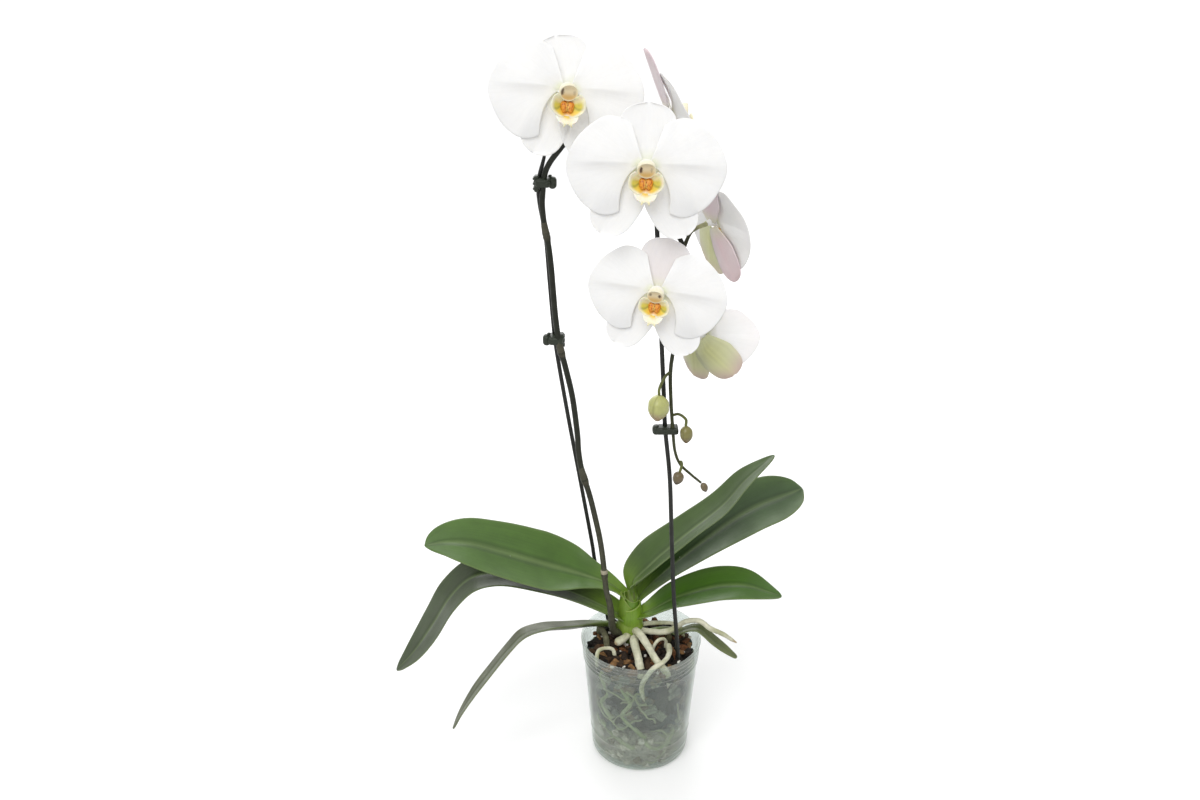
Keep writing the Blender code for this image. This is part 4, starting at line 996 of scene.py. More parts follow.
    def build(self) -> None:
        """Model the bloom and dress it."""
        tepals = [self.petal(1), self.petal(-1),
                  self.sepal(90 + self.nod, (0, 0), self.sepal_length * self.dorsal, self.sepal_half_width,
                             self.tints[0])]
        for tint, mirror in zip(self.tints[1:], (1, -1)):
            tepals.append(self.sepal(self.lateral_angle - self.hang, self.lateral_foot,
                                     self.lateral_length * self.lateral,
                                     self.lateral_half_width * self.lateral_width, tint, mirror))
        tepals.append(self.column())
        Bench.seat(Bench.join(self.name + "_tepals", tepals), PETAL, [self.name])
        Bench.seat(self.lip(), LIP, [self.name + "_lip"])

    def lip(self) -> Piece:
        """Model the lip: two upright side lobes, the pointed middle lobe, its tails and the callus.

        Returns:
            The lip.
        """
        parts = [self.cup(), self.tongue(), self.claw(), *self.callus()]
        for mirror in (-1, 1):
            tail = ((2.4, -27.4, 12.4), (2.8, -28.6, 13.6), (3.2, -29.4, 13.0))
            path = [self.spot(mirror * p.x / MM, p.y / MM, p.z / MM) for p in smooth_path(tail, 10)]
            radii = [(1.0 - 0.6 * i / 9) * self.size * MM for i in range(10)]
            parts.append(Bench.tube("tail", path, radii, 8, plain((0.86, 0.80, 0.52))))
        return Bench.join(self.name + "_lip_cup", parts)

    def cup(self) -> Piece:
        """Model the open bowl of the lip, its side lobes raised round the column.

        Returns:
            The bowl.
        """
        def spot(along: float, across: float) -> Vector:
            """Place a point of the bowl."""
            aside = 2 * across - 1
            turn = math.radians(135 * aside)
            high = abs(math.sin(turn / 2))
            lobe = 1 + 0.12 * bell(high - 0.62, 0.16) - 0.14 * ramp(high, 0.84, 0.925)
            curl = 1.4 * ramp(along, 0.8, 1.0) * high
            radius = 1.0 + along * (9.2 + 2.6 * high) * lobe + curl
            forward = 3.0 + along**1.3 * (4.6 + 5.6 * high) + 0.3 * math.sin(aside * 19) * along**3
            return self.spot(radius * math.sin(turn), -12.5 - radius * math.cos(turn), forward)

        def paint(along: float, across: float) -> Colour:
            """Colour the bowl gold within, striped, with cream lobes."""
            aside = abs(2 * across - 1)
            gold = blend((0.80, 0.36, 0.035), (0.84, 0.62, 0.08), ramp(aside + 0.4 * along, 0.2, 0.75))
            lime = blend(gold, (0.74, 0.64, 0.10), ramp(aside, 0.32, 0.6))
            streak = bell(aside - 0.56 - 0.05 * math.sin(along * 7), 0.05)
            lime = blend(lime, (0.30, 0.30, 0.05), 0.7 * streak * ramp(along, 0.15, 0.5))
            lime = blend(lime, (0.90, 0.83, 0.52), ramp(aside, 0.66, 0.88))
            cream = blend(lime, (0.90, 0.86, 0.68), ramp(along, 0.80, 0.98))
            cream = blend(cream, (0.88, 0.85, 0.68), (1 - ramp(aside, 0.0, 0.22)) * ramp(along, 0.55, 0.9))
            stripe = ramp(math.sin(across * 230 + 3 * math.sin(along * 9)), 0.1, 0.8)
            return blend(cream, (0.45, 0.08, 0.015), 0.7 * stripe * (1 - ramp(aside, 0.2, 0.5))
                         * (1 - ramp(along, 0.45, 0.75)))

        return Bench.sheet("cup", lattice(16, 48, spot), paint, self.lip_thickness)

    def tongue(self) -> Piece:
        """Model the cream middle lobe, narrowing to its notched tip.

        Returns:
            The lobe.
        """
        widths: Pairs = ((0, 9.8), (0.4, 9.2), (0.75, 7.4), (0.92, 6.0), (1, 5.0))

        def spot(along: float, across: float) -> Vector:
            """Place a point of the lobe."""
            side = 2 * across - 1
            bowl = (3.6 - 2.8 * along) * side**2
            notch = (0.9 * math.cos(side * 7.5) + 0.5) * ramp(along, 0.75, 1.0)
            ridge = 0.7 * bell(side, 0.2) * (1 - along)
            return self.spot(eased(widths, along) * side, -21.3 - 7.3 * along + bowl + notch,
                             6.6 + 6.4 * along + ridge)

        def paint(along: float, across: float) -> Colour:
            """Colour the lobe from gold to cream."""
            rim = abs(2 * across - 1)
            gold = blend((0.84, 0.58, 0.08), (0.88, 0.84, 0.64), ramp(along + 0.35 * rim, 0.1, 0.6))
            return blend(gold, (0.90, 0.87, 0.76), ramp(rim, 0.3, 0.9))

        return Bench.sheet("tongue", lattice(14, 18, spot), paint, self.lip_thickness + 0.3)

    def claw(self) -> Piece:
        """Model the short claw that holds the lip under the column.

        Returns:
            The claw.
        """
        line = ((0, -3.5, 3.5), (0, -9, 4.0), (0, -14, 4.0), (0, -17, 4.6))
        path = [self.spot(*(p / MM)) for p in smooth_path(line, 10)]
        return Bench.tube("claw", path, [2.4 * self.size * MM] * 10, 12, plain((0.74, 0.42, 0.08)))

    def callus(self) -> list[Piece]:
        """Model the two speckled pads of the callus in the lip's throat.

        Returns:
            The pads.
        """
        pads = []
        for mirror in (-1, 1):
            pad = Bench.fresh("callus", bpy.ops.mesh.primitive_uv_sphere_add, segments=24, ring_count=16,
                              radius=1)

            def speckled(spot: Vector) -> Colour:
                """Speckle the pad with red."""
                dots = ramp(noise.noise(spot * 3.4 + Vector((mirror, 0, 5))), 0.08, 0.3)
                gold = blend((0.80, 0.33, 0.03), (0.90, 0.66, 0.20), ramp(spot.x * mirror, -0.3, -0.9))
                return blend(gold, (0.42, 0.06, 0.015), 0.85 * dots)

            Bench.coat(pad, [speckled(vert.co) for vert in pad.data.vertices])
            for vert in pad.data.vertices:
                local = vert.co
                flare = 1 + 0.25 * local.y
                vert.co = self.spot(mirror * 2.6 + local.x * 2.9 * flare, -14.0 + local.y * 4.6,
                                    6.2 + local.z * 2.3 - local.y * 0.8)
            Bench.face_out(pad)
            pads.append(pad)
        return pads


@dataclass
class Leaf:
    """One strap leaf, folded at its foot and opening out along its arch."""

    name: str
    midline: tuple[Point, ...]
    widths: Pairs
    turn: Span
    fold: Span
    top: Colour = (0.055, 0.105, 0.020)
    edge: Colour = (0.065, 0.120, 0.028)
    foot: Colour = (0.14, 0.24, 0.02)
    rib: Colour = (0.14, 0.20, 0.07)
    old: bool = False
    grid: tuple[int, int] = (56, 20)
    thickness: float = 3.2

    def rows(self, count: int, columns: int) -> Rows:
        """Lay out the leaf's middle sheet.

        Args:
            count: How many rows it has along.
            columns: How many columns across.

        Returns:
            The rows.
        """
        path = smooth_path(self.midline, count)
        ways = tangents(path)
        heading = path[-1] - path[0]
        hand = -1 if heading.x > 0 else 1
        aside = heading.cross(Vector((0, 0, -hand))).normalized()
        rows = []
        for index, (point, way) in enumerate(zip(path, ways)):
            place = index / (count - 1)
            side = (aside - way * aside.dot(way)).normalized()
            up = way.cross(side) * hand
            turn = math.radians(self.turn[0] * (1 - place) + self.turn[1] * place)
            side, up = (side * math.cos(turn) - up * math.sin(turn),
                        up * math.cos(turn) + side * math.sin(turn))
            half = eased(self.widths, place) * MM * (1 - 0.8 * ramp(place, 0.985, 1.0))
            rise = self.fold[0] * (1 - place)**2 + self.fold[1]
            narrow = 1 / math.sqrt(1 + rise**2 / 2)
            row = []
            for column in range(columns + 1):
                across = 2 * column / columns - 1
                shape = math.copysign(abs(across)**0.85, across)
                lift = half * rise * (abs(across)**1.6 - 1)
                groove = -0.0009 * bell(across * half, 0.0016) * (1 - ramp(place, 0.85, 1.0))
                wave = 0.0012 * noise.noise(point * 26 + Vector((across, 0, 0))) * across**2
                row.append(point + side * half * shape * narrow + up * (lift + groove + wave))
            rows.append(row)
        return rows

    def build(self) -> None:
        """Model the leaf and dress it."""
        def paint(along: float, across: float) -> Colour:
            """Colour the leaf, with painted shade beside its midrib groove and a painted highlight along its
            edges.
            """
            rim = abs(2 * across - 1)
            green = blend(self.top, self.edge, rim**1.5)
            green = blend(self.foot, green, ramp(along, 0.0, 0.24))
            line = bell(rim, 0.035) * (0.75 - 0.35 * along)
            green = blend(green, self.rib, line)
            # painted shade beside the midrib groove
            green = blend(green, (0.02, 0.035, 0.008), 0.35 * bell(rim - 0.09, 0.05))
            # painted highlight: a pale rim where the leaf edges catch the light
            return blend(green, (0.17, 0.22, 0.09), 0.45 * ramp(rim, 0.965, 1.0))

        def taper(along: float, across: float) -> float:
            """Thin the leaf towards its edges and its tip."""
            middle = 1 - abs(2 * across - 1)
            return (0.42 + 0.58 * middle**0.7) * (1 - 0.35 * along)

        piece = Bench.sheet(self.name + "_blade", self.rows(*self.grid), paint, self.thickness, taper)
        Bench.seat(piece, OLD_LEAF if self.old else LEAF, [self.name])


@dataclass
class Root:
    """One root, its skin a little lumpy, tapering to its tip."""

    name: str
    line: tuple[Point, ...]
    radius: Span
    finish: Finish = ROOT
    skin: Colour = (0.60, 0.59, 0.45)
    stain: Colour = (0.34, 0.35, 0.18)
    tip: Colour = (0.42, 0.33, 0.20)
    stands_for_node: bool = True
    rings_a_point: int = 14

    def build(self) -> Piece:
        """Model the root and dress it.

        Returns:
            The root.
        """
        rings = self.rings_a_point * len(self.line)
        shares: Pairs = ((0, 1), (0.2, 1.06), (0.45, 0.95), (0.7, 1.04), (0.93, 0.85), (1, 0.4))
        start, end = self.radius
        widths = []
        for index in range(rings):
            place = index / (rings - 1)
            widths.append((start + (end - start) * place) * eased(shares, place) * MM)

        def lumps(spot: Vector) -> float:
            """Raise the skin's lumps."""
            return 0.00035 * noise.noise(spot * 190) + 0.00012 * noise.noise(spot * 700)

        path = smooth_path(self.line, rings)

        def paint(along: float, across: float) -> Colour:
            """Colour the root."""
            spot = path[round(along * (rings - 1))]
            cloud = 0.5 + noise.noise(spot * 60 + Vector((0, across * 2, 0)))
            return blend(blend(self.skin, self.stain, 0.7 * ramp(cloud, 0.35, 0.9)), self.tip,
                         ramp(along, 0.93, 0.97))

        piece = Bench.tube(self.name + "_skin", path, widths, 16, paint, lumps)
        return Bench.seat(piece, self.finish, [self.name] if self.stands_for_node else ())


@dataclass
class Roots:
    """All the roots: those over the mix and those that wind against the wall."""

    over: dict[str, tuple[tuple[Point, ...], Span]] = field(default_factory=lambda: {
        "root_long": (((0, 12, 127.5), (8, 4.5, 131.5), (20, -1.5, 134.5), (31, -6, 141), (43, -10, 152.5),
                       (56, -16, 157.5), (66.5, -20, 151.5), (78, -24, 148), (92, -28, 140.5)), (3.1, 2.1)),
        "root_beside": (((-3, 17, 129), (6, 16, 133), (20, 12, 136.5), (31, 10, 137.5), (39, 12, 132),
                         (43, 14, 120), (44, 14, 108)), (2.2, 2.0)),
        "root_thick": (((-7, 12, 122), (-6, 4, 124), (-7, -4, 125.5), (-6, -14, 125.5), (-4, -26, 123.5),
                        (-2.5, -38, 121), (-1.6, -44.5, 116), (-2, -45.5, 107), (-3, -44.5, 96)), (4.2, 3.9)),
        "root_diagonal": (((-8, 12, 128), (-4, 2, 133), (0.5, -7, 133), (6, -18, 130), (12.2, -33, 126.5),
                           (16, -41.5, 125.5), (20.8, -45, 121.5), (24.2, -43.4, 115), (25.5, -41.2, 106),
                           (24.5, -40.5, 96)), (3.8, 3.3)),
        "root_loop": (((27, -12, 113), (26.8, -15, 127), (27.2, -21, 129), (26.2, -32, 130),
                       (22, -43.5, 131), (15.4, -50.4, 130.5), (8.8, -51.8, 125.5), (2.4, -52.6, 115.7),
                       (-0.6, -51.8, 106), (0.9, -50.8, 93.3), (5.8, -49.6, 83)), (2.5, 2.3)),
        "root_curl": (((24.5, -6, 113), (24.5, -6.5, 126.5), (21.5, -8, 131), (16.5, -10, 130.5),
                       (12.5, -12.5, 126), (11, -14, 120), (11, -14.5, 112)), (1.7, 1.7)),
        "root_left": (((-44, -27, 112), (-44, -27, 124), (-41.5, -24, 129), (-34.5, -21.5, 129.5),
                       (-29, -20.5, 127.5), (-27, -21, 122), (-27, -21.5, 112)), (1.9, 1.9)),
        "root_stub": (((-12, 10, 124.5), (-14, 3.5, 126.5), (-17.5, -1.5, 127), (-21.5, -5.5, 126.5),
                       (-25.5, -8.8, 125.5)), (3.5, 4.2)),
    })
    wall: tuple[Pairs, ...] = (
        ((-50, 106), (-40, 90), (-52, 72), (-38, 60)),
        ((-22, 100), (-13, 84), (-23, 67), (-9, 53), (4, 42)),
        ((76, 106), (68, 92), (75, 77), (66, 62)),
        ((-62, 52), (-46, 42), (-29, 34), (-10, 27)),
        ((6, 33), (20, 24), (34, 29), (42, 42)),
    )
    wall_radius: float = 2.1
    wall_depth: float = 3.2
    dive: float = 9.0
    wall_colours: tuple[Colour, Colour, Colour] = ((0.34, 0.39, 0.22), (0.20, 0.26, 0.11), (0.32, 0.36, 0.20))
    fine_count: int = 34
    fine_depths: Span = (1.7, 6.0)
    fine_colours: tuple[Colour, Colour, Colour] = ((0.32, 0.35, 0.21), (0.18, 0.22, 0.10), (0.3, 0.32, 0.18))
    seed: int = 5

    @staticmethod
    def at_wall(angle: float, height: float, depth: float) -> Point:
        """Find a point inside the pot's wall.

        Args:
            angle: Its direction in degrees, from the front to the right.
            height: Its height.
            depth: How far it lies inside the wall.

        Returns:
            The point, in millimetres.
        """
        reach, turn = Pot().inner(height) - depth, math.radians(angle)
        return (reach * math.sin(turn), -reach * math.cos(turn), height)

    def build(self) -> None:
        """Model every root."""
        for name, (line, radius) in self.over.items():
            Root(name, line, radius).build()
        for index, turns in enumerate(self.wall):
            line = [self.at_wall(angle, height, self.wall_depth) for angle, height in turns]
            ends = []
            for angle, height in (turns[0], turns[-1]):
                across, back, _ = self.at_wall(angle, height, self.wall_depth + self.dive)
                ends.append((across, back, height + self.dive / 4))
            Root(f"wall_root_{index + 1}", (ends[0], *line, ends[1]), (self.wall_radius, self.wall_radius),
                 WALL_ROOT, *self.wall_colours).build()
        self.fine_roots()
        Root("old_stem", ((-42, 23, 112), (-41, 20, 126), (-38, 10, 128), (-35, 0, 126), (-34, -4, 112)),
             (3.0, 3.0), DRY, (0.17, 0.17, 0.10), (0.07, 0.06, 0.04), (0.1, 0.08, 0.04)).build()
        Root("cut_spike", ((28, 7, 108), (28, 6.5, 118), (28, 6, 127.5)), (3.4, 3.4), DRY, (0.13, 0.12, 0.06),
             (0.06, 0.05, 0.03), (0.30, 0.24, 0.14)).build()

    def fine_roots(self) -> None:
        """Model the thin roots that wander between the mix and the wall."""
        draw = random.Random(self.seed)
        near, deep = self.fine_depths
        pieces = []
        for index in range(self.fine_count):
            angle, height = draw.uniform(0, 360), draw.uniform(22, 104)
            way, bend = draw.choice((-1, 1)) * draw.uniform(5, 13), draw.uniform(-9, 9)
            line, thick = [], draw.uniform(0.7, 1.2)
            for step in range(6):
                line.append(self.at_wall(angle, height, near if 0 < step < 5 else deep))
                angle += way * draw.uniform(0.4, 1.2)
                height = min(max(height + bend + draw.uniform(-6, 6), 8), 108)
            root = Root(f"fine_root_{index}", tuple(line), (thick, thick), WALL_ROOT, *self.fine_colours,
                        stands_for_node=False)
            pieces.append(root.build())
        Bench.join("fine_wall_roots", pieces)


@dataclass(frozen=True)
class StalkShape:
    """How a stalk leaves the stem and meets what it carries, and how it changes colour on the way."""

    bend: float
    rise: float
    radii: Pairs
    rings: int
    sides: int
    colours: tuple[Colour, Colour]
    fade: Span | None = None


FLOWER_STALK = StalkShape(10, 4, ((0, 2.0), (0.3, 1.6), (1, 1.9)), 30, 12,
                          ((0.035, 0.038, 0.016), (0.40, 0.40, 0.22)), (0.25, 0.95))
BUD_STALK = StalkShape(6, 3, ((0, 1.3), (1, 1.3)), 20, 10, ((0.040, 0.045, 0.016), (0.16, 0.18, 0.05)))


@dataclass
class Spike:
    """The flower spike: its stem, the nodes with their bracts, and the stalks."""

    line: tuple[Point, ...] = (
        (-17, 11, 125), (-24, 5, 130), (-28.5, 0, 139), (-31, -4, 167), (-35, -4, 186),
        (-38, -4, 218), (-41, -3, 241), (-46, -1, 266), (-51, 0, 288), (-58, 1, 313),
        (-61, 1, 333), (-62, 0, 352), (-66, -3, 389), (-72, -6, 420), (-77, -8, 442),
        (-80, -9, 467), (-81.5, -11, 490), (-83, -13, 515), (-85, -14, 535), (-88, -15, 552),
        (-89.5, -17, 569), (-89, -18, 580), (-87, -20, 596), (-83, -22, 606), (-76, -25, 616),
        (-67, -25, 626), (-52, -22, 635), (-32, -21, 638), (-12, -24, 628), (4, -33, 600),
        (11, -40, 572), (17, -46, 556), (25, -46, 549), (28.5, -46, 535), (28, -46, 510),
        (26, -46, 485), (22, -44, 452), (20, -43, 430), (21, -43, 404), (23.5, -42, 374),
        (26, -40, 353), (31, -40, 340), (40, -41, 331), (50, -42, 322.5))
    radii: Pairs = ((0, 3.9), (0.04, 3.4), (0.09, 2.7), (0.3, 2.7), (0.5, 2.5), (0.62, 2.3), (0.8, 1.9),
                    (0.93, 1.5), (1, 1.1))
    nodes: tuple[float, ...] = (0.095, 0.207, 0.353, 0.472, 0.585, 0.665, 0.81, 0.93)
    rings: int = 420
    flower_back: float = 7.3

    def build(self, blooms: Sequence[Bloom], buds: "Sequence[Bud]") -> None:
        """Model the spike and dress it.

        Args:
            blooms: The blooms that it carries.
            buds: The buds that it carries.
        """
        path = smooth_path(self.line, self.rings)
        widths = []
        for index in range(self.rings):
            place = index / (self.rings - 1)
            swell = sum(0.35 * bell(place - node, 0.0035) for node in self.nodes)
            widths.append(eased(self.radii, place) * (1 + swell) * MM)

        def paint(along: float, across: float) -> Colour:
            """Colour the stem."""
            green = blend((0.060, 0.060, 0.038), (0.013, 0.015, 0.009), ramp(along, 0.06, 0.30))
            green = blend(green, (0.045, 0.05, 0.018), ramp(along, 0.76, 0.97))
            scar = max(bell(along - node, 0.0016) for node in self.nodes)
            return blend(green, (0.10, 0.09, 0.06), 0.7 * scar)

        parts = [Bench.tube("stem", path, widths, 14, paint)]
        for bloom in blooms:
            end = Vector(bloom.centre) * MM - bloom.axes[2] * self.flower_back * MM * bloom.size
            parts.append(self.stalk(path, STALK_NODES[bloom.name], end, bloom.axes[2], FLOWER_STALK))
        for bud in buds:
            if bud.node:
                tip = Vector(bud.tip).normalized()
                end = Vector(bud.centre) * MM - tip * (bud.length / 2 * MM + GAP)
                parts.append(self.stalk(path, bud.node, end, tip, BUD_STALK))
        for place in self.nodes[:4]:
            parts.append(self.bract(path, place))
        Bench.seat(Bench.join("flower_spike_stem", parts), SPIKE, ["flower_spike"])

    def stalk(self, path: Sequence[Vector], node: Point, end: Vector, way: Vector,
              shape: StalkShape) -> Piece:
        """Model the stalk of a flower or bud.

        Args:
            path: The spike's middle line.
            node: Where the stalk leaves it, in millimetres.
            end: Where the stalk ends, in metres.
            way: The direction that it ends in.
            shape: Its bends, rings and colours.

        Returns:
            The stalk.
        """
        start = min(path, key=lambda point: (point - Vector(node) * MM).length)
        turn = end - way * shape.bend * MM
        middle = start.lerp(turn, 0.5) + Vector((0, 0, shape.rise * MM))
        line = smooth_path([tuple(point / MM) for point in (start, middle, turn, end)], shape.rings)
        widths = [eased(shape.radii, i / (shape.rings - 1)) * MM for i in range(shape.rings)]

        def paint(along: float, across: float) -> Colour:
            """Colour the stalk from its foot to its head."""
            return blend(*shape.colours, ramp(along, *shape.fade) if shape.fade else along)

        return Bench.tube("stalk", line, widths, shape.sides, paint)

    def bract(self, path: Sequence[Vector], place: float) -> Piece:
        """Model the papery bract that wraps a node.

        Args:
            path: The spike's middle line.
            place: Where the node is, as a share of the spike's length.

        Returns:
            The bract.
        """
        first = round(place * (self.rings - 1))
        dry = place < self.nodes[1]
        line = path[first:first + (3 if dry else 7)]
        base = eased(self.radii, place) * MM
        widths = [base * share for share in (1.20, 1.34, 1.28, 1.2, 1.16, 1.08, 1.02)[:len(line)]]

        def paint(along: float, across: float) -> Colour:
            """Colour the bract, tan where it is dry."""
            tan = (0.50, 0.45, 0.33) if dry else (0.07, 0.065, 0.045)
            return blend(tan, (0.05, 0.05, 0.03), 0.6 * along)

        return Bench.tube("bract", line, widths, 14, paint)


@dataclass
class Bud:
    """A closed bud, ribbed where its sepals meet."""

    name: str
    centre: Point
    node: Point | None
    tip: Point
    length: float
    width: float
    skin: Colour
    blush: Colour

    def build(self) -> None:
        """Model the bud and dress it."""
        profile: Pairs = ((0, 0.16), (0.12, 0.62), (0.35, 0.97), (0.6, 0.95), (0.82, 0.62), (1, 0.12))
        tip = Vector(self.tip).normalized()
        side = tip.cross(Vector((0, 1, 0))).normalized()
        other = tip.cross(side)

        def spot(along: float, across: float) -> Vector:
            """Place a point of the bud."""
            cap = ramp(along, 0.0, 0.03) * (1 - ramp(along, 0.97, 1.0))
            angle = math.tau * (across % 1.0)
            seam = 0.05 * math.cos(3 * angle) - 0.035 * bell(math.sin(1.5 * angle), 0.12)
            reach = self.width / 2 * MM * eased(profile, along) * (1 + seam) * cap
            return (Vector(self.centre) * MM + tip * self.length * MM * (along - 0.5)
                    + (side * math.cos(angle) + other * math.sin(angle)) * reach)

        def paint(along: float, across: float) -> Colour:
            """Colour the bud."""
            seam = bell(math.sin(1.5 * math.tau * across), 0.16)
            rim = 0.5 + 0.5 * math.cos(3 * math.tau * across)
            skin = blend(self.skin, self.blush, ramp(along + 0.12 * rim, 0.55, 1.0))
            return blend(skin, blend(self.skin, (0.10, 0.10, 0.03), 0.6), 0.6 * seam)

        piece = Bench.skin(self.name + "_skin", lattice(26, 36, spot), paint)
        Bench.seat(piece, BUD, [self.name])


@dataclass
class Stake:
    """A thin black stake, bent a little by what it holds."""

    name: str
    line: tuple[Point, ...]
    radius: float = 2.0
    shares: Pairs = ((0, 0.5), (0.06, 1.0), (0.97, 1.0), (1, 0.7))
    rings: int = 160

    def build(self) -> None:
        """Model the stake and dress it."""
        radii = tuple((place, share * self.radius) for place, share in self.shares)
        widths = [eased(radii, i / (self.rings - 1)) * MM for i in range(self.rings)]
        piece = Bench.tube(self.name + "_rod", smooth_path(self.line, self.rings), widths, 14,
                           plain((0.013, 0.014, 0.012)))
        Bench.seat(piece, STAKE, [self.name])


@dataclass
class Pot:
    """The clear nursery pot with its narrow lip and the fine rings under it."""

    height: float = 130.0
    rim_radius: float = 60.0
    base_radius: float = 48.4
    wall: float = 1.2
    corner: float = 4.0
    lip_height: float = 3.0
    lip_reach: float = 1.2
    ring_spacing: float = 4.8
    ring_foot: float = 109.2
    ring_count: int = 4
    ring_reach: float = 0.7
    ring_section: Pairs = ((-1.3, 0.0), (-0.7, 0.45), (-0.25, 0.95), (0.25, 0.95), (0.7, 0.45), (1.3, 0.0))
    foot_lines: tuple[float, ...] = (7.0, 14.0, 27.0)
    line_section: Pairs = ((-0.8, 0.0), (0.0, 0.35), (0.8, 0.0))
    drain_radius: float = 3.5
    drain_circle: float = 30.0
    drain_count: int = 6
    sides: int = 128
    sharp_angle: float = 42.0

    def outer(self, height: float) -> float:
        """The outside radius of the wall at a height, in millimetres."""
        share = (height - self.corner) / (self.height - self.corner)
        return self.base_radius + (self.rim_radius - self.lip_reach - self.base_radius) * share

    def inner(self, height: float) -> float:
        """The inside radius of the wall at a height, in millimetres."""
        return self.outer(height) - self.wall

    def profile(self) -> list[Span]:
        """Draw the wall's section, from the middle of the base outside to its middle inside.

        Returns:
            (radius, height) pairs, in millimetres.
        """
        points = [(0.0, 0.0), (20.0, 0.0), (self.base_radius - self.corner, 0.0)]
        for step in range(1, 7):
            turn = math.radians(15 * step)
            points.append((self.base_radius - self.corner * (1 - math.sin(turn)),
                           self.corner * (1 - math.cos(turn))))
        for height in self.foot_lines:
            for offset, reach in self.line_section:
                points.append((self.outer(height) + reach, height + offset))
        for height in range(34, 106, 8):
            points.append((self.outer(height), height))
        for ring in range(self.ring_count):
            middle = self.ring_foot + self.ring_spacing * ring
            for offset, reach in self.ring_section:
                points.append((self.outer(middle) + self.ring_reach * reach, middle + offset))
        foot = self.height - self.lip_height
        points += [(self.outer(foot), foot - 0.8), (self.outer(foot) + 0.8, foot - 0.1),
                   (self.rim_radius - 0.4, foot + 0.7), (self.rim_radius, foot + 1.6),
                   (self.rim_radius, self.height - 1.2), (self.rim_radius - 0.25, self.height - 0.45),
                   (self.rim_radius - 0.8, self.height)]
        points += [(self.inner(self.height) + 0.5, self.height), (self.inner(self.height), self.height - 0.5)]
        for height in range(120, 8, -10):
            points.append((self.inner(height), height))
        points += [(self.inner(self.wall + self.corner), self.wall + self.corner),
                   (self.inner(self.wall) - 1.2, self.wall + 1.2),
                   (self.inner(self.wall) - self.corner, self.wall), (20.0, self.wall), (0.0, self.wall)]
        return points

    def build(self) -> None:
        """Turn the pot on its axis and dress it."""
        piece = Bench.turned("pot_shell", self.profile(), self.sides)
        self.drill(piece)
        Bench.pick(piece)
        bpy.ops.object.shade_smooth_by_angle(angle=math.radians(self.sharp_angle))
        Bench.seat(piece, ClearPlastic(), ["pot"])

    def drill(self, piece: Piece) -> None:
        """Cut the drain holes.

        Args:
            piece: The pot.
        """
        drills = []
        for step in range(self.drain_count):
            angle = math.tau * (step + 0.5) / self.drain_count
            spot = Vector((math.cos(angle), math.sin(angle), 0)) * self.drain_circle * MM
            drills.append(Bench.fresh("drill", bpy.ops.mesh.primitive_cylinder_add, vertices=24,
                                      radius=self.drain_radius * MM, depth=0.01, location=spot))
        drill = Bench.join("drill", drills)
        Bench.apply(piece, "BOOLEAN", operation="DIFFERENCE", solver="EXACT", object=drill)
        bpy.data.objects.remove(drill, do_unlink=True)


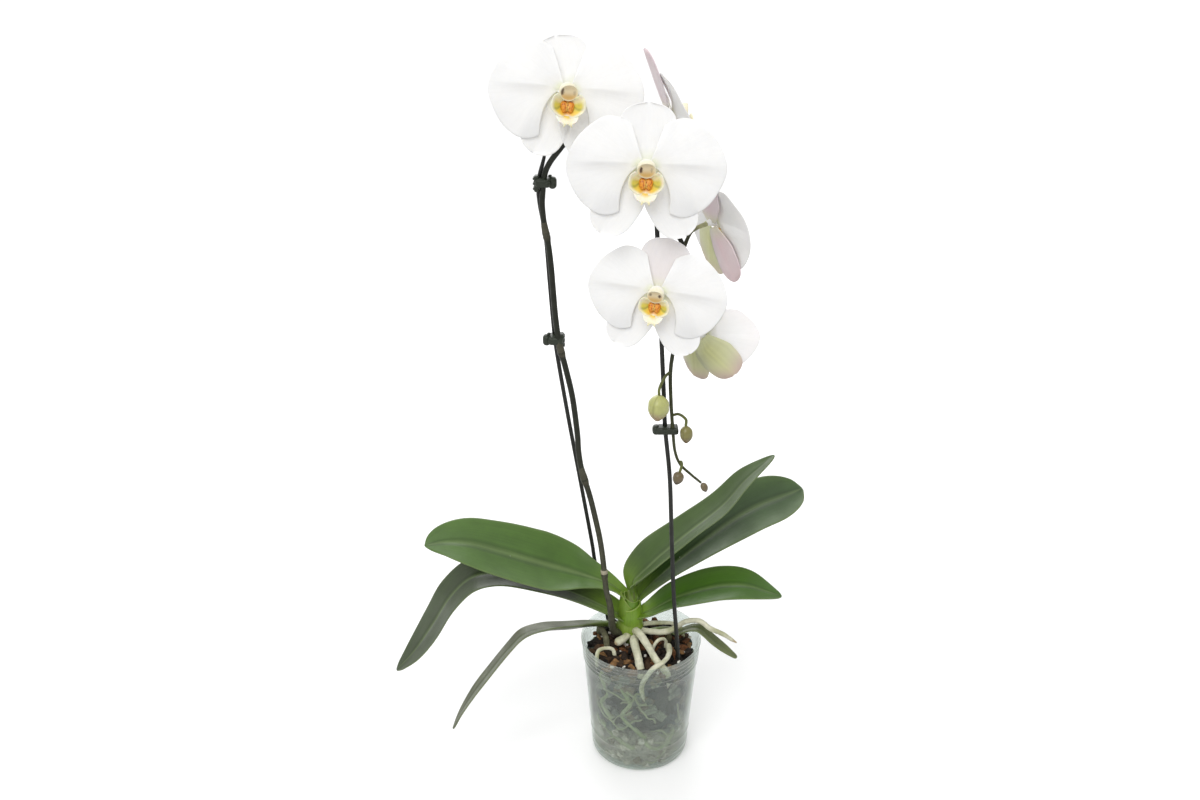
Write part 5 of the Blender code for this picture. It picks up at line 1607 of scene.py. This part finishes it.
@dataclass
class Mix:
    """The bark mix: a dark core with chips over its top, and chips and pellets against the wall."""

    top: float = 118.5
    floor: float = 1.5
    clearance: float = 6.0
    core_drop: float = 5.0
    template_count: int = 8
    chips_on_top: int = 200
    bits_on_top: int = 26
    chips_at_wall: int = 400
    pellet_top: float = 44.0
    chip_sizes: tuple[Span, ...] = ((6, 15), (4, 8), (2.5, 5))
    bit_sizes: tuple[Span, ...] = ((1.8, 3.6), (1.6, 3), (1.4, 2.6))
    wall_chip_sizes: tuple[Span, ...] = ((7, 15), (4, 9), (2.5, 4))
    pellet_sizes: tuple[Span, ...] = ((4, 8), (3.5, 6), (3, 4.5))
    seed: int = 23
    bit_colour: Colour = (0.62, 0.60, 0.54)
    browns: tuple[Colour, ...] = ((0.12, 0.050, 0.020), (0.030, 0.020, 0.014), (0.012, 0.010, 0.008),
                                  (0.22, 0.12, 0.05), (0.018, 0.013, 0.010), (0.06, 0.035, 0.02))
    at_wall: tuple[Colour, ...] = ((0.12, 0.14, 0.11), (0.21, 0.23, 0.17), (0.05, 0.065, 0.06),
                                   (0.020, 0.028, 0.027), (0.15, 0.13, 0.08), (0.07, 0.095, 0.095))
    pellets: tuple[Colour, ...] = ((0.55, 0.52, 0.43), (0.42, 0.40, 0.32), (0.24, 0.23, 0.17),
                                   (0.66, 0.63, 0.54), (0.13, 0.11, 0.06))
    core_colours: tuple[Colour, ...] = ((0.014, 0.017, 0.015), (0.07, 0.08, 0.065), (0.34, 0.33, 0.27))

    def templates(self, draw: random.Random) -> list[Piece]:
        """Model the few chips that all others are copies of.

        Args:
            draw: The random draw that roughens them.

        Returns:
            The chips, each about 1 long, wide and thick.
        """
        made = []
        for _ in range(self.template_count):
            piece = Bench.fresh("chip", bpy.ops.mesh.primitive_cube_add, size=1)
            Bench.apply(piece, "SUBSURF", subdivision_type="SIMPLE", levels=2, render_levels=2)
            shift = Vector((draw.uniform(0, 9), draw.uniform(0, 9), draw.uniform(0, 9)))
            for vert in piece.data.vertices:
                rounded = 1 - 0.16 * (vert.co.length / 0.87)**4
                ragged = 0.22 * noise.noise(vert.co * 2.3 + shift) + 0.08 * noise.noise(vert.co * 7 + shift)
                vert.co = vert.co * (rounded + ragged)
            made.append(piece)
        return made

    @staticmethod
    def lay(template: Piece, spot: Point, size: Sequence[float], turn: Matrix,
            colour: Colour) -> Piece:
        """Lay a copy of a chip.

        Args:
            template: The chip to copy.
            spot: Its distance from the pot's axis, its angle in radians and its height.
            size: Its length, width and thickness.
            turn: How it lies.
            colour: Its colour.

        Returns:
            The copy.
        """
        reach, angle, height = spot
        middle = Vector((reach * math.cos(angle), reach * math.sin(angle), height))
        piece = template.copy()
        piece.data = template.data.copy()
        bpy.context.scene.collection.objects.link(piece)
        for vert in piece.data.vertices:
            vert.co = (middle + turn @ stretched(vert.co, size)) * MM
        Bench.coat(piece, [colour] * len(piece.data.vertices))
        return piece

    def core(self) -> None:
        """Turn the dark body of the mix behind the chips."""
        pot = Pot()
        crest = self.top - self.core_drop
        profile = [(0, self.floor), (40, self.floor)]
        profile += [(pot.inner(height) - self.clearance, height)
                    for height in (6, 20, 36, 52, 68, 84, 100, crest)]
        piece = Bench.turned("mix_core", [*profile, (30, crest), (0, crest)], 72)

        def mottled(spot: Vector) -> Colour:
            """Mottle the core, paler low down."""
            cloud = 0.5 + noise.noise(spot * 90)
            dark, light, low = self.core_colours
            return blend(blend(dark, light, ramp(cloud, 0.45, 0.95)), low, 1 - ramp(spot.z / MM, 36, 46))

        Bench.coat(piece, [mottled(vert.co) for vert in piece.data.vertices])
        Bench.seat(piece, BARK, ["potting_mix"])

    def on_top(self, shapes: Sequence[Piece], draw: random.Random) -> list[Piece]:
        """Strew chips and a few white bits over the top.

        Args:
            shapes: The chips to copy.
            draw: The random draw.

        Returns:
            The copies.
        """
        chips = []
        golden = math.pi * (3 - math.sqrt(5))
        edge = Pot().inner(self.top) - 2
        for index in range(self.chips_on_top + self.bits_on_top):
            white = index >= self.chips_on_top
            size = [draw.uniform(*span) for span in self.chip_sizes]
            if white:
                size = [draw.uniform(*span) for span in self.bit_sizes]
                reach = edge * math.sqrt(draw.random())
            else:
                reach = (edge - 0.5 * size[0]) * math.sqrt((index + 0.5) / self.chips_on_top)
            height = self.top + (draw.uniform(1.0, 2.6) if white else draw.uniform(-4.5, 1.0))
            turn = (Matrix.Rotation(draw.uniform(0, math.tau), 3, "Z")
                    @ Matrix.Rotation(draw.gauss(0, 0.35), 3, "X")
                    @ Matrix.Rotation(draw.gauss(0, 0.30), 3, "Y"))
            colour = self.bit_colour if white else draw.choice(self.browns)
            spot = (reach, index * golden, height)
            chips.append(self.lay(draw.choice(shapes), spot, size, turn, colour))
        return chips

    def by_wall(self, shapes: Sequence[Piece], draw: random.Random) -> list[Piece]:
        """Press chips and, low down, pale pellets against the wall.

        Args:
            shapes: The chips to copy.
            draw: The random draw.

        Returns:
            The copies.
        """
        pot = Pot()
        chips = []
        for index in range(self.chips_at_wall):
            angle = draw.uniform(0, math.tau)
            height = 4 + (self.top - 8) * (index + 0.5) / self.chips_at_wall
            low = height < self.pellet_top
            size = [draw.uniform(*span) for span in self.wall_chip_sizes]
            if low:
                size = [draw.uniform(*span) for span in self.pellet_sizes]
            bulge = size[0]**2 / 8 / pot.inner(height)
            reach = pot.inner(height) - 1.0 - size[2] / 2 - bulge
            reach -= draw.uniform(0, 1.6)
            turn = (Matrix.Rotation(angle + math.pi / 2, 3, "Z")
                    @ Matrix.Rotation(math.pi / 2, 3, "X")
                    @ Matrix.Rotation(draw.uniform(-0.9, 0.9), 3, "Z"))
            colour = draw.choice(self.pellets if low else self.at_wall)
            chips.append(self.lay(draw.choice(shapes), (reach, angle, height), size, turn, colour))
        return chips

    def build(self) -> None:
        """Model the core and the chips and dress them."""
        self.core()
        draw = random.Random(self.seed)
        shapes = self.templates(draw)
        top = Bench.join("bark_chips_on_top", self.on_top(shapes, draw))
        wall = Bench.join("bark_chips_by_wall", self.by_wall(shapes, draw))
        for shape in shapes:
            bpy.data.objects.remove(shape, do_unlink=True)
        Bench.seat(top, BARK)
        Bench.seat(wall, BARK)


@dataclass(frozen=True)
class Sheath:
    """One clasping leaf base: where it stands, how high its rim runs and which way it opens."""

    middle: Span
    foot: float
    low: float
    high: float
    radius: float
    heading: float
    both: bool = False
    skin: Colour = (0.17, 0.28, 0.02)

    def build(self) -> Piece:
        """Model the sheath as a closed ring of leaf, its rim oblique.

        Returns:
            The sheath.
        """
        heading = math.radians(self.heading)

        def spot(along: float, across: float) -> Vector:
            """Place a point of the sheath."""
            angle = math.tau * (across % 1.0)
            facing = math.cos(angle - heading)
            share = abs(facing)**1.6 if self.both else max(0.5 + 0.5 * facing, 0)**1.5
            rim = self.low + (self.high - self.low) * share
            swell = 0.84 + 0.18 * math.sin(math.pi * min(along * 1.15, 1.0)) - 0.05 * along
            reach = self.radius * (swell + 0.06 * bell(1 - facing, 0.05) * along)
            return Vector((self.middle[0] + reach * math.cos(angle),
                           self.middle[1] + 0.80 * reach * math.sin(angle),
                           self.foot + (rim - self.foot) * along)) * MM

        def paint(along: float, across: float) -> Colour:
            """Colour the sheath."""
            green = blend(blend(self.skin, (0.27, 0.36, 0.06), 0.6), self.skin, ramp(along, 0.0, 0.5))
            vein = 0.5 + 0.5 * math.sin(across * math.tau * 22)
            green = blend(green, (0.14, 0.20, 0.03), 0.18 * vein)
            return blend(green, (0.30, 0.36, 0.10), 0.5 * ramp(along, 0.95, 1.0))

        return Bench.sheet("sheath", lattice(14, 56, spot), paint, 1.8,
                           lambda along, across: 1.1 - 0.5 * along, ring=True)


@dataclass
class Crown:
    """The short stem of stacked leaf bases."""

    axis: tuple[Point, ...] = ((-10, 14, 106), (-10, 14, 122), (-10, 15, 140), (-10, 16, 158), (-10, 17, 170))
    radii: Pairs = ((0.0, 9.0), (0.25, 10.0), (0.6, 7.5), (0.85, 5.5), (1.0, 3.5))
    sheaths: tuple[Sheath, ...] = (
        Sheath((-11, 14), 122, 141.0, 146.0, 12.6, 0, True, (0.19, 0.29, 0.03)),
        Sheath((-10.0, 14), 130, 153.0, 160.0, 11.4, 14, False, (0.16, 0.29, 0.018)),
        Sheath((-12.0, 15), 134, 152.0, 171.0, 9.6, 178, False, (0.15, 0.26, 0.02)),
        Sheath((-10.0, 16.5), 146, 161.0, 169.0, 8.4, 150, False, (0.11, 0.22, 0.015)),
    )
    rings: int = 40

    def build(self) -> None:
        """Model the stem and the sheath of each leaf, and dress them."""
        widths = [eased(self.radii, i / (self.rings - 1)) * MM for i in range(self.rings)]
        stem = smooth_path(self.axis, self.rings)
        parts = [Bench.tube("stem", stem, widths, 32, plain((0.12, 0.17, 0.03)))]
        parts += [sheath.build() for sheath in self.sheaths]
        Bench.seat(Bench.join("crown_sheaths", parts), CROWN, ["crown"])


@dataclass
class Clip:
    """A small one-piece clip round the spike and its stake, upright or level."""

    name: str
    centre: Point
    lobe: Side
    level: bool = False
    skin: Colour = (0.020, 0.027, 0.016)

    def blocks(self) -> list[tuple[Point, Point, float]]:
        """List the clip's rounded blocks.

        Returns:
            The size, the middle from the clip's own and the corner radius of each.
        """
        side = self.lobe.value
        if self.level:
            return [((20, 12, 6.5), (0.4, 0, 0), 2.2), ((7, 9.5, 8.7), (side * 9.2, 0, 0), 3.4),
                    ((17, 13, 1.3), (1.5, 0, 2.0), 0.6), ((17, 13, 1.3), (1.5, 0, -1.4), 0.6)]
        found = [((13, 17, 7.5), (0, 0, 0), 2.6), ((4.4, 9, 13.5), (-side * 5.2, -1, -1), 1.4),
                 ((7, 9, 10), (side * 8, -1, -0.5), 3.3), ((3, 3, 2.4), (side * 6, -1, 5), 0.9)]
        found += [((3, 8, 1.7), (-side * 6.9, -1, height), 0.7) for height in (3.3, -0.9, -5.1)]
        return found

    def block(self, size: Point, offset: Point, corner: float) -> Piece:
        """Mould one rounded block of the clip.

        Args:
            size: Its size.
            offset: Its middle from the clip's.
            corner: The radius of its corners.

        Returns:
            The block.
        """
        middle = Vector(self.centre) + Vector(offset)
        piece = Bench.fresh("block", bpy.ops.mesh.primitive_cube_add, size=1)
        for vert in piece.data.vertices:
            vert.co = (middle + stretched(vert.co, size)) * MM
        Bench.apply(piece, "BEVEL", width=corner * MM, segments=5, limit_method="NONE")
        Bench.coat(piece, [self.skin] * len(piece.data.vertices))
        return piece

    def build(self) -> None:
        """Model the clip and dress it."""
        piece = Bench.join(self.name + "_moulding", [self.block(*block) for block in self.blocks()])
        Bench.pick(piece)
        bpy.ops.object.shade_smooth_by_angle(angle=math.radians(40))
        Bench.seat(piece, CLIP, [self.name])


STALK_NODES: dict[str, Point] = {
    "bloom_1": (-67, -25, 626), "bloom_2": (-12, -24, 628), "bloom_3": (28, -46, 510),
    "bloom_4": (-12, -24, 628), "bloom_5": (27.5, -46, 541), "bloom_6": (26, -46, 485)}


@dataclass
class Studio:
    """The camera at the photograph's angle, soft light and a plain pale floor."""

    eye: Point = (-0.041, -0.981, 0.804)
    look_down: float = 23.1
    lens: float = 35.0
    sensor: float = 36.0
    sky_strength: Span = (0.60, 0.95)
    sun_power: float = 1.25
    sun_spread: float = 40.0
    sun_turn: Span = (38.0, -16.0)
    box_spot: Point = (-0.3, 1.8, 1.2)
    box_aim: Point = (-0.05, 0.0, 0.2)
    box_side: float = 1.5
    box_power: float = 14.0
    floor_side: float = 80.0
    floor_drop: float = 0.0004

    @staticmethod
    def hang(name: str, data: bpy.types.ID, spot: Point, turn: Sequence[float]) -> Piece:
        """Put a camera or a light in the scene.

        Args:
            name: Its name.
            data: The camera or light.
            spot: Where it stands, in metres.
            turn: Its rotation, in radians.

        Returns:
            Its object.
        """
        made = bpy.data.objects.new(name, data)
        made.location = spot
        made.rotation_euler = turn
        bpy.context.scene.collection.objects.link(made)
        return made

    def camera(self) -> None:
        """Set up the camera."""
        made = bpy.data.cameras.new("camera")
        made.lens = self.lens
        made.sensor_width = self.sensor
        made.clip_start = 0.01
        turn = (math.radians(90 - self.look_down), 0, 0)
        bpy.context.scene.camera = self.hang("camera", made, self.eye, turn)

    def lights(self) -> None:
        """Light the scene evenly, with a soft box for the sheen."""
        world = bpy.data.worlds.new("studio")
        world.use_nodes = True
        nodes, links = world.node_tree.nodes, world.node_tree.links
        up = nodes.new("ShaderNodeSeparateXYZ")
        links.new(nodes.new("ShaderNodeTexCoord").outputs["Generated"], up.inputs[0])
        sky = nodes.new("ShaderNodeMapRange")
        low, high = self.sky_strength
        for key, value in (("From Min", -0.5), ("From Max", 1.0), ("To Min", low), ("To Max", high)):
            sky.inputs[key].default_value = value
        links.new(up.outputs["Z"], sky.inputs["Value"])
        links.new(sky.outputs["Result"], nodes["Background"].inputs["Strength"])
        nodes["Background"].inputs["Color"].default_value = (1.0, 1.0, 1.0, 1.0)
        bpy.context.scene.world = world
        made = bpy.data.lights.new("sun", "SUN")
        made.energy = self.sun_power
        made.angle = math.radians(self.sun_spread)
        self.hang("sun", made, (0, 0, 0), (*(math.radians(turn) for turn in self.sun_turn), 0))
        made = bpy.data.lights.new("sheen", "AREA")
        made.size = self.box_side
        made.energy = self.box_power
        aim = Vector(self.box_aim) - Vector(self.box_spot)
        self.hang("sheen", made, self.box_spot, aim.to_track_quat("-Z", "Y").to_euler())
        bpy.context.scene.view_settings.view_transform = "Standard"

    def floor(self) -> None:
        """Lay the floor."""
        piece = Bench.fresh("studio_floor", bpy.ops.mesh.primitive_plane_add, size=self.floor_side,
                            location=(0, 0, -self.floor_drop))
        recipe = Recipe("studio_floor_paint")
        cloud = recipe.grain(recipe.place(), 0.8)
        recipe.set(Base_Color=recipe.mix(cloud, (0.93, 0.93, 0.93), (0.95, 0.95, 0.95)), Roughness=0.9)
        piece.data.materials.append(recipe.made)
        piece.visible_diffuse = False

    def build(self) -> None:
        """Set up the studio."""
        self.camera()
        self.lights()
        self.floor()


def make_leaves() -> list[Leaf]:
    """List the plant's seven leaves.

    Returns:
        The leaves.
    """
    return [
        Leaf("leaf_1",
             ((-12, 17, 165), (-22, 19, 173.5), (-33, 21, 180.5), (-51, 22, 188.5), (-75, 22, 198),
              (-110, 17, 211), (-139, 11, 223), (-167, 3, 235), (-190, -5, 240), (-208, -14, 240)),
             ((0, 7), (0.06, 8.5), (0.12, 12), (0.21, 20), (0.3, 30), (0.45, 38), (0.65, 37), (0.85, 29),
              (0.95, 16), (1, 4)),
             (26, 14), (0.40, 0.06), top=(0.054, 0.122, 0.012), edge=(0.064, 0.134, 0.018)),
        Leaf("leaf_2",
             ((-14, 15, 144), (-29, 17, 153.5), (-61, 18, 170), (-100, 15, 186), (-139, 11, 198),
              (-168, 6, 196), (-190, 0, 177), (-208, -5, 148), (-227, -11, 119), (-244, -16, 99)),
             ((0, 11), (0.06, 14.5), (0.3, 17), (0.55, 22), (0.75, 23), (0.9, 17), (1, 4)),
             (20, 14), (0.40, 0.12), top=(0.045, 0.062, 0.028), edge=(0.055, 0.078, 0.034)),
        Leaf("leaf_3",
             ((-13, 18, 129), (-27, 20, 132), (-49, 11, 139), (-71, -2, 145), (-95, -13, 150),
              (-116, -22, 148), (-132, -29, 134), (-149, -37, 114), (-165, -45, 94),
              (-177, -50, 75), (-185, -56, 59)),
             ((0, 6), (0.12, 8), (0.35, 15), (0.6, 16), (0.8, 13), (0.93, 7), (1, 2)),
             (-20, -20), (0.35, 0.10), top=(0.070, 0.080, 0.035), edge=(0.08, 0.095, 0.04), old=True),
        Leaf("leaf_4",
             ((-8, 18, 158), (-12.5, 20, 169), (-13.5, 21, 186), (6.5, 22, 210), (42, 28, 236.5),
              (76, 34, 261), (100, 38, 287), (129, 42, 309)),
             ((0, 7.5), (0.06, 9.5), (0.14, 21), (0.3, 28), (0.6, 26), (0.8, 22), (0.93, 12), (1, 3)),
             (4, -6), (0.5, 0.16), top=(0.046, 0.088, 0.015), edge=(0.054, 0.098, 0.020)),
        Leaf("leaf_5",
             ((-7, 25.5, 150), (0, 30.5, 162), (24, 37, 186.5), (60, 47, 213), (96, 59, 234),
              (125, 67, 246), (165, 75, 256)),
             ((0, 6.5), (0.12, 12.5), (0.35, 23), (0.6, 32), (0.8, 35), (0.92, 28), (0.98, 16), (1, 8)),
             (16, 12), (0.45, 0.10), top=(0.022, 0.062, 0.006), edge=(0.056, 0.104, 0.024)),
        Leaf("leaf_6",
             ((-6, 13.5, 146), (1, 10.5, 151.5), (8.5, 9, 156.5), (19, 9.5, 163.5), (35, 12, 171),
              (59, 11, 180), (83, 9, 185.5), (107, 6, 185), (138, 0, 175)),
             ((0, 6.5), (0.08, 10), (0.15, 13.5), (0.35, 20.5), (0.6, 25), (0.8, 21), (0.93, 11), (1, 3)),
             (18, 8), (0.42, 0.10), top=(0.046, 0.118, 0.008), edge=(0.058, 0.126, 0.016)),
        Leaf("leaf_7",
             ((2, 14, 124), (10, 14.5, 126), (19, 11.5, 129.5), (28, 8, 131.5), (37, 1, 133.5), (43, -3, 139),
              (51, -8, 145), (59, -11, 145), (71, -16, 136), (83, -20, 127.5), (94, -24, 120)),
             ((0, 3.5), (0.3, 5), (0.5, 6.5), (0.85, 6), (1, 2.5)),
             (0, 5), (0.1, 0.2), top=(0.095, 0.115, 0.035), edge=(0.11, 0.13, 0.045), old=True),
    ]


def make_blooms() -> list[Bloom]:
    """List the plant's six open flowers.

    Returns:
        The blooms.
    """
    white, mauve, pink, lime = (0.95, 0.94, 0.93), (0.72, 0.60, 0.63), (0.84, 0.66, 0.69), (0.66, 0.67, 0.34)
    return [
        Bloom("bloom_1", (-67, -40, 669), 12, 10, -6, nod=15, hang=8, lateral=0.86, dorsal=0.88,
              cavity_shade_spots=((-5.4, -2.6, 1.5, 3.2, 0.9), (4.4, -3.4, 1.0, 2.0, 0.25))),
        Bloom("bloom_2", (-5, -78, 617), 0, 6, -2),
        Bloom("bloom_3", (6, -68, 512), -12, 4, -5, size=0.93, nod=-7, tinted=0.35,
              tints=((0.66, 0.52, 0.54), white, white),
              cavity_shade_spots=((3.9, -2.6, 1.3, 1.7, 0.95), (-4.3, -1.8, 1.3, 1.6, 0.6))),
        Bloom("bloom_4", (18.5, 2, 643.5), 97, 22, 0, size=1.1, dorsal=1.1, lateral=0.82, close=3, blush=0.4,
              tinted=0.9, tints=(mauve, mauve, mauve)),
        Bloom("bloom_5", (55, -14, 556), 113, 15, 0, size=0.9, hang=10, lateral=0.93, lateral_width=1.3,
              close=3, blush=0.4, tinted=1.0, tints=(mauve, lime, pink)),
        Bloom("bloom_6", (47, -26, 458), 138, -20, -15, size=0.86, lateral=0.9, lateral_width=1.3, close=46,
              fan=0.9, blush=0.6, green=0.8, tinted=1.0, tints=((0.85, 0.83, 0.6), lime, lime)),
    ]


def make_buds() -> list[Bud]:
    """List the plant's four buds.

    Returns:
        The buds.
    """
    olive, brown = (0.20, 0.18, 0.05), (0.13, 0.095, 0.04)
    return [
        Bud("bud_1", (9.4, -52, 400), (20, -43, 430), (-0.05, 0, -1), 25, 19, (0.44, 0.45, 0.16),
            (0.52, 0.36, 0.24)),
        Bud("bud_2", (35, -46, 372), (22.3, -42.5, 388), (0.05, 0, -1), 17, 11.5, olive, (0.20, 0.12, 0.05)),
        Bud("bud_3", (29, -44, 328), (31, -40, 340), (-0.25, 0, -1), 13.5, 10, brown, (0.09, 0.05, 0.03)),
        Bud("bud_4", (53.2, -42, 317.6), None, (0.45, 0, -1), 10, 6.5, brown, (0.10, 0.06, 0.045)),
    ]


def make_holders() -> list[Stake | Clip]:
    """List the stakes and clips that hold the spike up.

    Returns:
        The two stakes and the three clips.
    """
    return [
        Stake("stake_left",
              ((-22, 34, 12), (-27, 38.5, 75), (-32.5, 41.5, 118), (-35, 43, 134), (-45.5, 48.5, 182),
               (-49.4, 48.5, 209.6), (-59, 38, 276), (-70, 21, 354), (-79, 10, 420), (-82, 2, 452),
               (-85, -3, 500), (-87.5, -6, 540), (-92, -10.5, 572), (-92, -13, 590), (-87, -14.5, 611))),
        Stake("stake_right",
              ((38, -22, 12), (37.5, -24.5, 70), (35.7, -26, 122), (30, -27.5, 188), (26, -30, 256),
               (22.5, -33, 322), (17, -37, 373), (15, -39, 406), (13.5, -40, 430), (12, -41, 454),
               (6, -43, 555), (2, -44, 596))),
        Clip("clip_1", (-88.5, -16, 590), Side.RIGHT),
        Clip("clip_2", (-80.5, -2.5, 446), Side.LEFT),
        Clip("clip_3", (18, -39.5, 374), Side.LEFT, level=True),
    ]


def main() -> None:
    """Build the plant and its studio, piece by piece."""
    logging.basicConfig(level=logging.INFO, format="%(name)s: %(message)s")
    Studio().build()
    leaves, blooms, buds = make_leaves(), make_blooms(), make_buds()
    Pot().build()
    log.info("pot turned")
    Mix().build()
    log.info("mix filled")
    Crown().build()
    for leaf in leaves:
        leaf.build()
    log.info("leaves grown: %d", len(leaves))
    Roots().build()
    log.info("roots laid")
    Spike().build(blooms, buds)
    for bloom in blooms:
        bloom.build()
        log.info("%s opened", bloom.name)
    for bud in buds:
        bud.build()
    for holder in make_holders():
        holder.build()
    log.info("buds, stakes and clips set")


if __name__ == "__main__":
    main()
